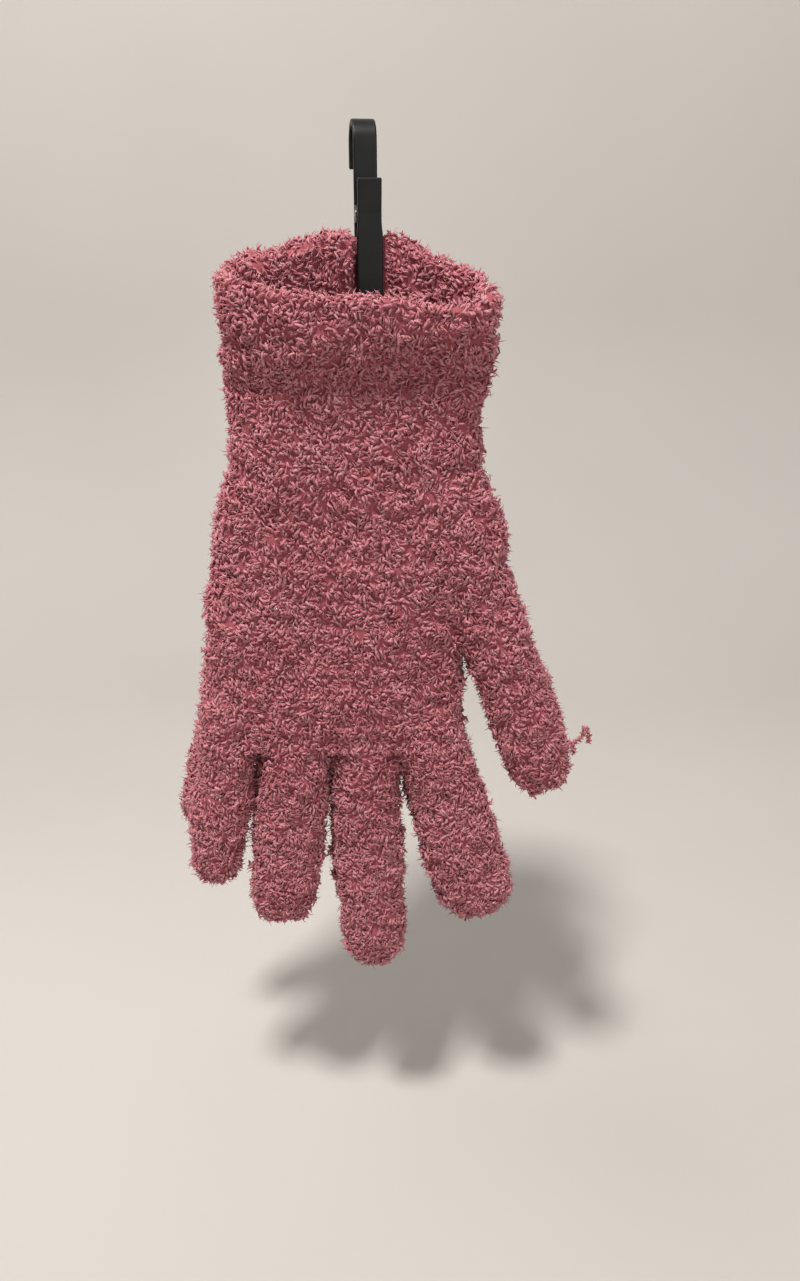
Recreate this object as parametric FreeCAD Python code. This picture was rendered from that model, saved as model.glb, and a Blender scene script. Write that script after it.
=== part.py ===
"""A pair of fluffy knitted gloves that hangs by its cuffs from a small squeeze clip with a rail hook.

Frame, in millimetres: the origin is the centre of the hook's arch, +Z is up, +X is the side where
both thumbs hang, and -Y is the side that the front glove's palm faces. The two gloves are the same
knit, back to back: q below is the distance from a glove's back to its palm.
"""

import FreeCAD
import Part
import math
import os
from collections import namedtuple
from FreeCAD import Vector

# Rail hook
RAIL_RADIUS = 4.0
HOOK_CLEARANCE = 0.4
STRAP_WIDTH = 6.4
STRAP_THICKNESS = 1.6
HOOK_TAIL = 6.0
CLIP_TURN = 9.0
STRAP_DROP = 45.0

# Squeeze lever and its pivot
LEVER_THICKNESS = 1.8
LEVER_WIDTH = 6.4
JAW_WIDTH = 7.0
LEVER_TOP_DROP = 9.0
LEVER_FLARE = 5.0
LEVER_SHOULDER = 3.0
JAW_DROP = 45.0
PIVOT_DROP = 17.6
PIN_RADIUS = 0.9
PIN_CLEARANCE = 0.05
PIN_HEAD = 0.2
EAR_RADIUS = 2.2
EAR_THICKNESS = 0.9
EAR_GAP = 0.1
EDGE_ROUND = 0.45

# Torsion spring around the pin
SPRING_WIRE = 0.4
SPRING_HALF_TURNS = 5
SPRING_PITCH = 0.55
SPRING_KNEE = 1.0
SPRING_CLEARANCE = 0.15
SPRING_LEG = 4.2

# Knitted walls and the gaps between separate pieces
KNIT_WALL = 3.0
CUFF_WALL = 3.2
PINCHED_WALL = 2.0
RIM_WALL = 5.0
SOFT_GAP = 0.3
SEAM_GAP = 0.35

# Cuff: a rolled rim, whose mouth slopes down from the clip, and a drawn-in waist
RIM_TOP = -23.5
RIM_SIDE_SLOPE = -0.06
RIM_DEPTH_SLOPE = -0.42
RIM_BOTTOM = -49.3
RIM_BOTTOM_SLOPE = 0.04
RIM_LEFT = -38.0
RIM_RIGHT = 36.2
RIM_DEPTH = 30.0
CUFF_TOP_LEFT = -36.8
CUFF_TOP_RIGHT = 33.6
CUFF_TOP_DEPTH = 26.5
WAIST_DROP = 70.0
WAIST_LEFT = -37.0
WAIST_RIGHT = 31.2
WAIST_DEPTH = 21.0
WRIST_DROP = 82.0
WRIST_LEFT = -38.0
WRIST_RIGHT = 32.2
WRIST_DEPTH = 22.0

# Elastic threads on the inside of the wrist
ELASTIC_THREAD = 0.9
ELASTIC_COUNT = 5
ELASTIC_PITCH = 2.2
ELASTIC_LOWEST = 1.6
ELASTIC_CLEARANCE = 0.12

# Hand: sections below the wrist, then the roots that the five digits hang from
HEEL_DROP = 100.0
HEEL_LEFT = -43.6
HEEL_RIGHT = 38.0
PALM_DROP = 140.0
PALM_LEFT = -49.2
PALM_RIGHT = 28.8
PALM_BACK = 0.6
HAND_END_DROP = 171.5
HAND_END_BACK = 2.8
HAND_FRONT = 21.6
HAND_END_FRONT = 21.3
HAND_END_LITTLE_STEP = 0.6
HAND_END_INDEX_STEP = 1.6
ROOT_LENGTH = 18.0
THUMB_ROOT_LENGTH = 54.0
THUMB_ROOT_WIDTH = 22.5
ROOT_OPEN = 1.0

# Digits: all have their palm side on one plane, which also holds the axes that they bend about
DIGIT_FRONT = 21.0
CROTCH_GAP = 1.6
INDEX_CROTCH_GAP = 2.4
TIP_STEPS = (0.4, 0.7, 0.88, 0.97)

# Little finger: SEAM is how far its seam lies below the palm's end, LEAN is in degrees towards +X,
# the depths are from back to palm side, and DOME is the length of the rounded tip
LITTLE_SEAM = 2.4
LITTLE_LEAN = -9.0
LITTLE_LENGTH = 50.5
LITTLE_BASE_WIDTH = 18.0
LITTLE_BELLY_WIDTH = 18.4
LITTLE_TIP_WIDTH = 16.4
LITTLE_BASE_DEPTH = 15.0
LITTLE_TIP_DEPTH = 12.5
LITTLE_DOME = 10.0

# Ring finger
RING_SEAM = 7.1
RING_LEAN = -6.5
RING_LENGTH = 61.5
RING_BASE_WIDTH = 21.8
RING_BELLY_WIDTH = 22.6
RING_TIP_WIDTH = 21.0
RING_BASE_DEPTH = 16.0
RING_TIP_DEPTH = 13.5
RING_DOME = 11.5

# Middle finger, where PLACE is its seam's x
MIDDLE_PLACE = -0.7
MIDDLE_SEAM = 9.5
MIDDLE_LEAN = 1.0
MIDDLE_LENGTH = 78.8
MIDDLE_BASE_WIDTH = 20.6
MIDDLE_BELLY_WIDTH = 21.2
MIDDLE_TIP_WIDTH = 20.4
MIDDLE_BASE_DEPTH = 16.4
MIDDLE_TIP_DEPTH = 13.5
MIDDLE_DOME = 17.0

# Index finger
INDEX_SEAM = 6.7
INDEX_LEAN = 14.5
INDEX_LENGTH = 61.5
INDEX_BASE_WIDTH = 21.6
INDEX_BELLY_WIDTH = 25.4
INDEX_TIP_WIDTH = 26.2
INDEX_BASE_DEPTH = 16.0
INDEX_TIP_DEPTH = 14.0
INDEX_DOME = 13.0

# Thumb: SEAM is how far its seam lies below the middle of the palm
THUMB_PLACE = 40.3
THUMB_SEAM = -0.8
THUMB_LEAN = 18.5
THUMB_LENGTH = 52.3
THUMB_BASE_WIDTH = 20.4
THUMB_BELLY_WIDTH = 21.8
THUMB_TIP_WIDTH = 21.4
THUMB_BASE_DEPTH = 16.4
THUMB_TIP_DEPTH = 14.0
THUMB_DOME = 11.0

# A digit's widest place, as a share of its straight part
BELLY_SHARE = 0.55

# Loose end of yarn at the front thumb's tip
TAIL_THREAD = 1.2
TAIL_PLACE = 39.0
TAIL_REACH = ((0.0, 0.0), (2.6, 3.2), (4.9, 6.0), (7.0, 5.4), (7.9, 2.2))
TAIL_BEND = 0.45

# The second glove hangs a little higher, leans to the left and spreads its thumb and little finger more
BACK_LEAN = 1.2
BACK_LIFT = 1.0
BACK_LITTLE_SPLAY = 8.0
BACK_THUMB_SPLAY = 4.5


Digit = namedtuple("Digit", "name seam lean length base belly tip thick thin dome")
LITTLE = Digit(
    "little_finger",
    HAND_END_DROP + LITTLE_SEAM,
    LITTLE_LEAN,
    LITTLE_LENGTH,
    LITTLE_BASE_WIDTH,
    LITTLE_BELLY_WIDTH,
    LITTLE_TIP_WIDTH,
    LITTLE_BASE_DEPTH,
    LITTLE_TIP_DEPTH,
    LITTLE_DOME,
)
RING = Digit(
    "ring_finger",
    HAND_END_DROP + RING_SEAM,
    RING_LEAN,
    RING_LENGTH,
    RING_BASE_WIDTH,
    RING_BELLY_WIDTH,
    RING_TIP_WIDTH,
    RING_BASE_DEPTH,
    RING_TIP_DEPTH,
    RING_DOME,
)
MIDDLE = Digit(
    "middle_finger",
    HAND_END_DROP + MIDDLE_SEAM,
    MIDDLE_LEAN,
    MIDDLE_LENGTH,
    MIDDLE_BASE_WIDTH,
    MIDDLE_BELLY_WIDTH,
    MIDDLE_TIP_WIDTH,
    MIDDLE_BASE_DEPTH,
    MIDDLE_TIP_DEPTH,
    MIDDLE_DOME,
)
INDEX = Digit(
    "index_finger",
    HAND_END_DROP + INDEX_SEAM,
    INDEX_LEAN,
    INDEX_LENGTH,
    INDEX_BASE_WIDTH,
    INDEX_BELLY_WIDTH,
    INDEX_TIP_WIDTH,
    INDEX_BASE_DEPTH,
    INDEX_TIP_DEPTH,
    INDEX_DOME,
)
THUMB = Digit(
    "thumb",
    PALM_DROP + THUMB_SEAM,
    THUMB_LEAN,
    THUMB_LENGTH,
    THUMB_BASE_WIDTH,
    THUMB_BELLY_WIDTH,
    THUMB_TIP_WIDTH,
    THUMB_BASE_DEPTH,
    THUMB_TIP_DEPTH,
    THUMB_DOME,
)


def cos(degrees):
    return math.cos(math.radians(degrees))


def sin(degrees):
    return math.sin(math.radians(degrees))


# Places that follow from the sizes above, in the clip's own turned frame
HOOK_RADIUS = RAIL_RADIUS + HOOK_CLEARANCE
STRAP_FRONT = -(HOOK_RADIUS + STRAP_THICKNESS)
TURN_REACH = sin(CLIP_TURN) * STRAP_WIDTH / 2
JAW_REACH = sin(CLIP_TURN) * JAW_WIDTH / 2

# The pinch plane lies between the two cuffs, clear of the strap behind and the jaw in front
PINCH_Y = STRAP_FRONT * cos(CLIP_TURN) - TURN_REACH - SOFT_GAP - PINCHED_WALL - SOFT_GAP
JAW_BACK = (PINCH_Y - SOFT_GAP - PINCHED_WALL - SOFT_GAP - JAW_REACH) / cos(CLIP_TURN)
PIVOT_Y = (STRAP_FRONT + JAW_BACK) / 2
PIVOT_Z = -PIVOT_DROP

# The planes that the rim lies between
RIM_LOW_EDGE = (RIM_BOTTOM, RIM_BOTTOM_SLOPE, 0.0)
RIM_HIGH_EDGE = (RIM_TOP, RIM_SIDE_SLOPE, RIM_DEPTH_SLOPE)


def width_across(digit):
    """How much of the hand's end a digit takes, left to right."""
    return digit.base * cos(digit.lean)


def digit_places():
    """The x of each digit's seam: the fingers stand side by side, with a crotch between them."""
    half = {d.name: width_across(d) / 2 for d in (LITTLE, RING, MIDDLE, INDEX)}
    ring = MIDDLE_PLACE - half[MIDDLE.name] - CROTCH_GAP - half[RING.name]
    little = ring - half[RING.name] - CROTCH_GAP - half[LITTLE.name]
    index = MIDDLE_PLACE + half[MIDDLE.name] + INDEX_CROTCH_GAP + half[INDEX.name]
    return {
        LITTLE.name: little,
        RING.name: ring,
        MIDDLE.name: MIDDLE_PLACE,
        INDEX.name: index,
        THUMB.name: THUMB_PLACE,
    }


class Glove:
    """One glove of the pair: side is -1 for the front glove and +1 for the one behind it."""

    def __init__(self, name, side, lean, lift, little_splay, thumb_splay):
        self.name = name
        self.side = side
        self.lean = lean
        self.lift = lift
        little = LITTLE._replace(lean=LITTLE.lean - little_splay)
        thumb = THUMB._replace(lean=THUMB.lean + thumb_splay)
        self.digits = (little, RING, MIDDLE, INDEX, thumb)
        self.places = digit_places()

    def at(self, x, q, z):
        """A point in the glove's own frame, where the palm faces -Y."""
        return Vector(x, -q, z)

    def hung(self, shape):
        """The shape where its glove hangs: turned to its side, leaned, lifted and off the pinch plane."""
        if self.side > 0:
            shape = shape.mirror(Vector(0, 0, 0), Vector(0, 1, 0))
            shape.rotate(Vector(0, 0, RIM_TOP), Vector(0, 1, 0), self.lean)
        shape.translate(Vector(0, PINCH_Y + self.side * SOFT_GAP, self.lift))
        return shape

    def oval(self, centre, along, half_width, half_depth):
        """A closed section of two lines and four quarter arcs, where along is its wide way."""
        x, q, z = centre
        run = half_width - half_depth
        slant = half_depth * math.sqrt(0.5)

        def spot(wide, deep):
            return self.at(x + along[0] * wide, q + deep, z + along[1] * wide)

        corners = (
            spot(-run, -half_depth),
            spot(run, -half_depth),
            spot(half_width, 0),
            spot(run, half_depth),
            spot(-run, half_depth),
            spot(-half_width, 0),
        )
        edges = [
            Part.makeLine(corners[0], corners[1]),
            Part.Arc(corners[1], spot(run + slant, -slant), corners[2]).toShape(),
            Part.Arc(corners[2], spot(run + slant, slant), corners[3]).toShape(),
            Part.makeLine(corners[3], corners[4]),
            Part.Arc(corners[4], spot(-run - slant, slant), corners[5]).toShape(),
            Part.Arc(corners[5], spot(-run - slant, -slant), corners[0]).toShape(),
        ]
        return Part.Wire(edges)

    def level(self, z, left, right, back, front):
        """A level section of the cuff or hand."""
        centre = ((left + right) / 2, (back + front) / 2, z)
        return self.oval(centre, (1, 0), (right - left) / 2, (front - back) / 2)

    def across(self, digit, along, width, back, front):
        """A section of a digit, square to it, at a distance along it from its seam."""
        x = self.places[digit.name] + along * sin(digit.lean)
        z = -digit.seam - along * cos(digit.lean)
        way = (cos(digit.lean), sin(digit.lean))
        return self.oval((x, (back + front) / 2, z), way, width / 2, (front - back) / 2)


def loft(sections):
    """A closed solid through sections, straight from each to the next."""
    solid = Part.makeLoft(sections, True, True)
    if solid.Volume < 0:
        solid.reverse()
    return solid


def one_solid(shape):
    """The single solid that a joined or cut shape holds."""
    if len(shape.Solids) != 1:
        raise ValueError("expected one solid, got %d" % len(shape.Solids))
    return shape.Solids[0]


def cuff_levels(inset, pinched):
    """Sections of the cuff below its rim, inset all round and by the pinched wall at the back."""
    waist = (-WAIST_DROP, WAIST_LEFT, WAIST_RIGHT, WAIST_DEPTH)
    wrist = (-WRIST_DROP, WRIST_LEFT, WRIST_RIGHT, WRIST_DEPTH)
    top = (0.0, CUFF_TOP_LEFT, CUFF_TOP_RIGHT, CUFF_TOP_DEPTH)
    return [
        (z, left + inset, right - inset, pinched, depth - inset)
        for z, left, right, depth in (top, waist, wrist)
    ]


def cuff_slab(glove, low, high):
    """The layer of space between two sloped planes, each a height with its slopes along x and q."""
    reach = RIM_RIGHT - RIM_LEFT + RIM_DEPTH
    wires = []
    for level, side_slope, depth_slope in (low, high):
        corners = [
            glove.at(x, q, level + side_slope * x + depth_slope * q)
            for x, q in ((-reach, -reach), (reach, -reach), (reach, reach), (-reach, reach))
        ]
        wires.append(Part.makePolygon(corners + corners[:1]))
    return loft(wires)


def cuff_rim(glove):
    """The rolled rim around the mouth, thin where the clip pinches it."""
    outer = (RIM_LEFT, RIM_RIGHT, 0.0, RIM_DEPTH)
    inner = (RIM_LEFT + RIM_WALL, RIM_RIGHT - RIM_WALL, PINCHED_WALL, RIM_DEPTH - RIM_WALL)
    ends = (0.0, -WAIST_DROP)
    ring = loft([glove.level(z, *outer) for z in ends])
    ring = ring.cut(loft([glove.level(z, *inner) for z in ends]))
    return one_solid(ring.common(cuff_slab(glove, RIM_LOW_EDGE, RIM_HIGH_EDGE)))


def cuff(glove):
    """The cuff from the rim down to the wrist."""
    outer = loft([glove.level(*section) for section in cuff_levels(0.0, 0.0)])
    inner = loft([glove.level(*section) for section in cuff_levels(CUFF_WALL, PINCHED_WALL)])
    wall = outer.cut(inner)
    below_wrist = (-2 * WRIST_DROP, 0.0, 0.0)
    return one_solid(wall.common(cuff_slab(glove, below_wrist, RIM_LOW_EDGE)))


def elastic_threads(glove):
    """Rings of elastic thread that lie against the inside of the wrist."""
    radius = ELASTIC_THREAD / 2
    off = radius + ELASTIC_CLEARANCE
    waist, wrist = cuff_levels(CUFF_WALL, PINCHED_WALL)[1:]
    rings = []
    for count in range(ELASTIC_COUNT):
        z = wrist[0] + ELASTIC_LOWEST + count * ELASTIC_PITCH
        share = (z - wrist[0]) / (waist[0] - wrist[0])
        left, right, back, front = (
            low + share * (high - low) for low, high in zip(wrist[1:], waist[1:])
        )
        path = glove.level(z, left + off, right - off, back + off, front - off)
        rings.append(one_solid(tube(path.Edges, radius)))
    return Part.makeCompound(rings)


def hand_forms(glove, inset, through):
    """The forms of palm and roots, or with an inset the spaces inside, which run through the seams."""
    index_x = glove.places[INDEX.name] + width_across(INDEX) / 2 - HAND_END_INDEX_STEP
    little = glove.digits[0]
    little_x = glove.places[LITTLE.name] - width_across(little) / 2 + HAND_END_LITTLE_STEP
    levels = (
        (-WRIST_DROP - SEAM_GAP + through, WRIST_LEFT, WRIST_RIGHT, 0.0, WRIST_DEPTH),
        (-HEEL_DROP, HEEL_LEFT, HEEL_RIGHT, 0.0, HAND_FRONT),
        (-PALM_DROP, PALM_LEFT, PALM_RIGHT, PALM_BACK, HAND_FRONT),
        (-HAND_END_DROP + inset, little_x, index_x, HAND_END_BACK, HAND_END_FRONT),
    )
    palm = loft(
        [
            glove.level(z, left + inset, right - inset, back + inset, front - inset)
            for z, left, right, back, front in levels
        ]
    )
    forms = [palm]
    for digit in glove.digits:
        is_thumb = digit.name == THUMB.name
        length = THUMB_ROOT_LENGTH if is_thumb else ROOT_LENGTH
        start = THUMB_ROOT_WIDTH if is_thumb else digit.base
        back = DIGIT_FRONT - digit.thick + inset
        front = DIGIT_FRONT - inset
        forms.append(
            loft(
                [
                    glove.across(digit, inset - length, start - 2 * inset, back, front),
                    glove.across(digit, through, digit.base - 2 * inset, back, front),
                ]
            )
        )
    return forms


def hand(glove):
    """The hand, open at the wrist and into each digit."""
    palm, *roots = hand_forms(glove, 0.0, 0.0)
    body = palm.fuse(roots)
    for space in hand_forms(glove, KNIT_WALL, ROOT_OPEN):
        body = body.cut(space)
    return one_solid(body)


def digit_form(glove, digit, inset, start):
    """A digit's outer form, or with an inset the stall inside it."""
    straight = digit.length - digit.dome
    back = DIGIT_FRONT - digit.thick + inset
    front = DIGIT_FRONT - inset
    sections = [glove.across(digit, start, digit.base - 2 * inset, back, front)]
    middle = straight * BELLY_SHARE
    half_back = DIGIT_FRONT - (digit.thick + digit.thin) / 2 + inset
    sections.append(glove.across(digit, middle, digit.belly - 2 * inset, half_back, front))
    tip_back = DIGIT_FRONT - digit.thin + inset
    width = digit.tip - 2 * inset
    sections.append(glove.across(digit, straight, width, tip_back, front))
    centre = (tip_back + front) / 2
    half_depth = (front - tip_back) / 2
    for step in TIP_STEPS:
        share = math.sqrt(1 - step * step)
        place = straight + step * (digit.dome - inset)
        low = centre - share * half_depth
        high = centre + share * half_depth
        sections.append(glove.across(digit, place, width * share, low, high))
    return loft(sections)


def digit_tube(glove, digit):
    """A digit: a knitted tube with a closed, rounded tip, just clear of the hand at its seam."""
    outer = digit_form(glove, digit, 0.0, SEAM_GAP)
    return one_solid(outer.cut(digit_form(glove, digit, KNIT_WALL, 0.0)))


def rounded_path(points, bend):
    """Edges of straight runs joined by tangent arcs, bend being the share of a run that an arc takes."""
    edges = []
    start = points[0]
    for before, corner, after in zip(points, points[1:], points[2:]):
        run = min((corner - before).Length, (after - corner).Length) * bend
        into = corner + (before - corner).normalize() * run
        out = corner + (after - corner).normalize() * run
        half_turn = (corner - before).getAngle(after - corner) / 2
        radius = run / math.tan(half_turn)
        inward = ((into + out) * 0.5 - corner).normalize()
        middle = corner + inward * (radius / math.cos(half_turn) - radius)
        edges.append(Part.makeLine(start, into))
        edges.append(Part.Arc(into, middle, out).toShape())
        start = out
    edges.append(Part.makeLine(start, points[-1]))
    return edges


def tube(edges, radius):
    """A round tube along edges that run on smoothly from one to the next."""
    start = edges[0].valueAt(edges[0].FirstParameter)
    way = edges[0].tangentAt(edges[0].FirstParameter)
    circle = Part.Wire([Part.Circle(start, way, radius).toShape()])
    shell = Part.Wire(edges).makePipeShell([circle], True, False)
    length = sum(edge.Length for edge in edges)
    print("tube volume is %.3f of section times length" % (shell.Volume / (math.pi * radius ** 2 * length)))
    return shell


def yarn_tail(glove):
    """The loose end of yarn that stands off the outer side of the thumb's tip."""
    radius = TAIL_THREAD / 2
    straight = THUMB.length - THUMB.dome
    half = (THUMB.belly + (THUMB.tip - THUMB.belly) * TAIL_PLACE / straight) / 2
    x = THUMB_PLACE + TAIL_PLACE * sin(THUMB.lean) + half * cos(THUMB.lean)
    z = -THUMB.seam - TAIL_PLACE * cos(THUMB.lean) + half * sin(THUMB.lean)
    q = DIGIT_FRONT - THUMB.thin / 2
    points = [glove.at(x + radius + across, q, z + up) for across, up in TAIL_REACH]
    return one_solid(tube(rounded_path(points, TAIL_BEND), radius))


def turned(shape):
    """The clip hangs turned a little about the upright, front towards the thumbs' side."""
    shape.rotate(Vector(0, 0, 0), Vector(0, 0, 1), CLIP_TURN)
    return shape


def plate(points, width):
    """A plate from a closed profile in the clip's side plane, as wide as given."""
    corners = [Vector(-width / 2, y, z) for y, z in points]
    face = Part.Face(Part.makePolygon(corners + corners[:1]))
    return face.extrude(Vector(width, 0, 0))


def cross_rod(radius, low, high):
    """A round rod across the clip at its pivot."""
    return Part.makeCylinder(radius, high - low, Vector(low, PIVOT_Y, PIVOT_Z), Vector(1, 0, 0))


def ear_pair(outer, root_y):
    """Two ears that reach from a plate to the pin, outer being their outside faces."""
    ears = []
    for low in (-outer, outer - EAR_THICKNESS):
        ear = cross_rod(EAR_RADIUS, low, low + EAR_THICKNESS)
        depth = root_y - PIVOT_Y
        corner = Vector(low, min(PIVOT_Y, root_y), PIVOT_Z - EAR_RADIUS)
        web = Part.makeBox(EAR_THICKNESS, abs(depth), 2 * EAR_RADIUS, corner)
        ears.append(ear.fuse(web))
    return ears


def clip_strap():
    """The rail hook, its strap down between the gloves' backs and the two outer ears."""
    inner = HOOK_RADIUS
    outer = HOOK_RADIUS + STRAP_THICKNESS
    half = STRAP_WIDTH / 2
    left = Vector(-half, 0, 0)
    across = Vector(1, 0, 0)
    arch = Part.makeCylinder(outer, STRAP_WIDTH, left, across)
    arch = arch.cut(Part.makeCylinder(inner, STRAP_WIDTH, left, across))
    below = Part.makeBox(STRAP_WIDTH, 2 * outer, outer, Vector(-half, -outer, -outer))
    arch = arch.cut(below)
    tail = Part.makeBox(STRAP_WIDTH, STRAP_THICKNESS, HOOK_TAIL, Vector(-half, inner, -HOOK_TAIL))
    strap = Part.makeBox(STRAP_WIDTH, STRAP_THICKNESS, STRAP_DROP, Vector(-half, -outer, -STRAP_DROP))
    body = arch.fuse([tail, strap]).removeSplitter()
    body = body.makeFillet(EDGE_ROUND, body.Edges)
    body = body.fuse(ear_pair(half, STRAP_FRONT + EDGE_ROUND)).removeSplitter()
    hole = cross_rod(PIN_RADIUS, -half, half)
    return turned(one_solid(body.cut(hole)))


def clip_lever():
    """The squeeze lever: a flared finger tab above the pin and a wider flat jaw below it."""
    flare = (PIVOT_DROP - LEVER_TOP_DROP) * math.tan(math.radians(LEVER_FLARE))
    front = JAW_BACK - LEVER_THICKNESS
    side_view = [
        (JAW_BACK, -JAW_DROP),
        (JAW_BACK, PIVOT_Z),
        (JAW_BACK - flare, -LEVER_TOP_DROP),
        (front - flare, -LEVER_TOP_DROP),
        (front, PIVOT_Z),
        (front, -JAW_DROP),
    ]
    body = plate(side_view, JAW_WIDTH)
    half = LEVER_WIDTH / 2
    jaw = JAW_WIDTH / 2
    shoulder = PIVOT_Z - EAR_RADIUS
    wing = shoulder - LEVER_SHOULDER
    for side in (-1, 1):
        corners = [
            Vector(side * half, PIVOT_Y, 0),
            Vector(side * JAW_WIDTH, PIVOT_Y, 0),
            Vector(side * JAW_WIDTH, PIVOT_Y, wing),
            Vector(side * jaw, PIVOT_Y, wing),
            Vector(side * half, PIVOT_Y, shoulder),
        ]
        waste = Part.Face(Part.makePolygon(corners + corners[:1]))
        body = body.cut(waste.extrude(Vector(0, -PIVOT_DROP, 0)))
    body = body.makeFillet(EDGE_ROUND, body.Edges)
    outer = STRAP_WIDTH / 2 - EAR_THICKNESS - EAR_GAP
    body = body.fuse(ear_pair(outer, JAW_BACK - EDGE_ROUND)).removeSplitter()
    hole = cross_rod(PIN_RADIUS + PIN_CLEARANCE, -LEVER_WIDTH / 2, LEVER_WIDTH / 2)
    return turned(one_solid(body.cut(hole)))


def clip_pivot_pin():
    """The pin, pressed into the strap's ears and free in the lever's, with a low head each side."""
    half = STRAP_WIDTH / 2
    pin = cross_rod(PIN_RADIUS, -half, half)
    heads = [
        cross_rod(PIN_RADIUS + PIN_HEAD, -half - PIN_HEAD, -half),
        cross_rod(PIN_RADIUS + PIN_HEAD, half, half + PIN_HEAD),
    ]
    return turned(one_solid(pin.fuse(heads)))


def clip_spring():
    """A torsion spring round the pin, with one leg up to the strap and one up to the lever."""
    wire = SPRING_WIRE / 2
    coil = PIN_RADIUS + SPRING_CLEARANCE + wire
    step = SPRING_PITCH / 2
    half_length = SPRING_HALF_TURNS * step / 2
    tip_z = PIVOT_Z + SPRING_LEG
    lever_face = JAW_BACK - SPRING_LEG * math.tan(math.radians(LEVER_FLARE))

    def leg(x, side, face):
        root = Vector(x, PIVOT_Y + side * coil, PIVOT_Z)
        knee = root + Vector(0, 0, SPRING_KNEE)
        tip = Vector(x, face - side * (wire + SPRING_CLEARANCE), tip_z)
        return [root, knee, tip]

    edges = rounded_path(leg(-half_length, 1, STRAP_FRONT)[::-1], TAIL_BEND)
    for count in range(SPRING_HALF_TURNS):
        side = 1 if count % 2 == 0 else -1
        x = count * step - half_length
        start = Vector(x, PIVOT_Y + side * coil, PIVOT_Z)
        end = Vector(x + step, PIVOT_Y - side * coil, PIVOT_Z)
        dip = Vector(0, 0, -side * (end - start).Length / 2)
        edges.append(Part.Arc(start, (start + end) * 0.5 + dip, end).toShape())
    edges += rounded_path(leg(half_length, -1, lever_face), TAIL_BEND)
    return turned(one_solid(tube(edges, wire)))


def export(name, shape):
    """Writes one node, and prints what it holds."""
    box = shape.BoundBox
    state = "valid" if shape.isValid() else "NOT VALID"
    print("%-24s %s, solids %d, volume %.1f" % (name, state, len(shape.Solids), shape.Volume))
    print("    x %.1f to %.1f" % (box.XMin, box.XMax), end=", ")
    print("y %.1f to %.1f" % (box.YMin, box.YMax), end=", ")
    print("z %.1f to %.1f" % (box.ZMin, box.ZMax))
    shape.exportStep("parts/%s.step" % name)


FRONT = Glove("front", -1, 0.0, 0.0, 0.0, 0.0)
BACK = Glove("back", 1, BACK_LEAN, BACK_LIFT, BACK_LITTLE_SPLAY, BACK_THUMB_SPLAY)


def main():
    os.makedirs("parts", exist_ok=True)
    export("clip_strap", clip_strap())
    export("clip_lever", clip_lever())
    export("clip_pivot_pin", clip_pivot_pin())
    export("clip_spring", clip_spring())
    for glove in (FRONT, BACK):
        export(glove.name + "_cuff_rim", glove.hung(cuff_rim(glove)))
        export(glove.name + "_cuff", glove.hung(cuff(glove)))
        export(glove.name + "_cuff_elastic", glove.hung(elastic_threads(glove)))
        export(glove.name + "_hand", glove.hung(hand(glove)))
        for digit in glove.digits:
            export(glove.name + "_" + digit.name, glove.hung(digit_tube(glove, digit)))
    export("front_thumb_yarn_tail", FRONT.hung(yarn_tail(FRONT)))


if __name__ == "__main__":
    main()
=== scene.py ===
"""A pair of fluffy chenille gloves that hangs by its cuffs from a black squeeze clip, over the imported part.

A glove's own frame, in millimetres: x runs across the hand towards the thumb, q from the glove's back to
its palm, and z up from the middle of the clip's hook. hang() takes points from there to the part's frame.
"""

import logging
import math
from dataclasses import dataclass, field, replace
from enum import Enum

import bpy
import numpy as np
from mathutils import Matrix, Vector


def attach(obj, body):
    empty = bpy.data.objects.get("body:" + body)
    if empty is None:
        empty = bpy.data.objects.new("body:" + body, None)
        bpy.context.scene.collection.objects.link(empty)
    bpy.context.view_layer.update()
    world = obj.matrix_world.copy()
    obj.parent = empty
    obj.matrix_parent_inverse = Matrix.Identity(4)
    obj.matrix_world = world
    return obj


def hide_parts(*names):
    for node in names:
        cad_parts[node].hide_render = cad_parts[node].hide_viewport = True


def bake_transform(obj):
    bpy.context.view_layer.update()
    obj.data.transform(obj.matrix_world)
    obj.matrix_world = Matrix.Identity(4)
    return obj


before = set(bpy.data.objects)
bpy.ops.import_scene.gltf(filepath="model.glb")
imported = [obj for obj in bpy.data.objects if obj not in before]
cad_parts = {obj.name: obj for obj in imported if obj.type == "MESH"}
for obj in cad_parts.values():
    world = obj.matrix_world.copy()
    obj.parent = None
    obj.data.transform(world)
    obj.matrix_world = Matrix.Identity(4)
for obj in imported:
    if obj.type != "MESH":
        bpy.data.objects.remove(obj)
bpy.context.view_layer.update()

LOG = logging.getLogger("gloves")
MM = 0.001
Array = np.ndarray

# A mix node's colour sockets share their names with its number sockets, so they go by their places.
MIX_LOW, MIX_HIGH, MIX_OUT = 6, 7, 2
# The distance from band to band of a wave texture at scale 1, in metres.
WAVE_PITCH = 0.314
# Corners round a tuft, and points round a section of the knit.
TUFT_SIDES = 3
RING_POINTS = 32
# The height of a row of stitches in this yarn, in millimetres.
COURSE = 2.7


class Side(Enum):
    """Which glove of the pair: the front one's palm faces the viewer, the other one hangs behind it."""

    FRONT = -1
    BACK = 1


def linear(code: str) -> tuple[float, float, float, float]:
    """Turns an sRGB hex colour into the linear colour that a shader takes.

    Args:
        code: Six hex digits.

    Returns:
        Red, green, blue and a full alpha.
    """
    parts = [int(code[i : i + 2], 16) / 255 for i in (0, 2, 4)]
    red, green, blue = [p / 12.92 if p <= 0.04045 else ((p + 0.055) / 1.055) ** 2.4 for p in parts]
    return red, green, blue, 1.0


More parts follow.
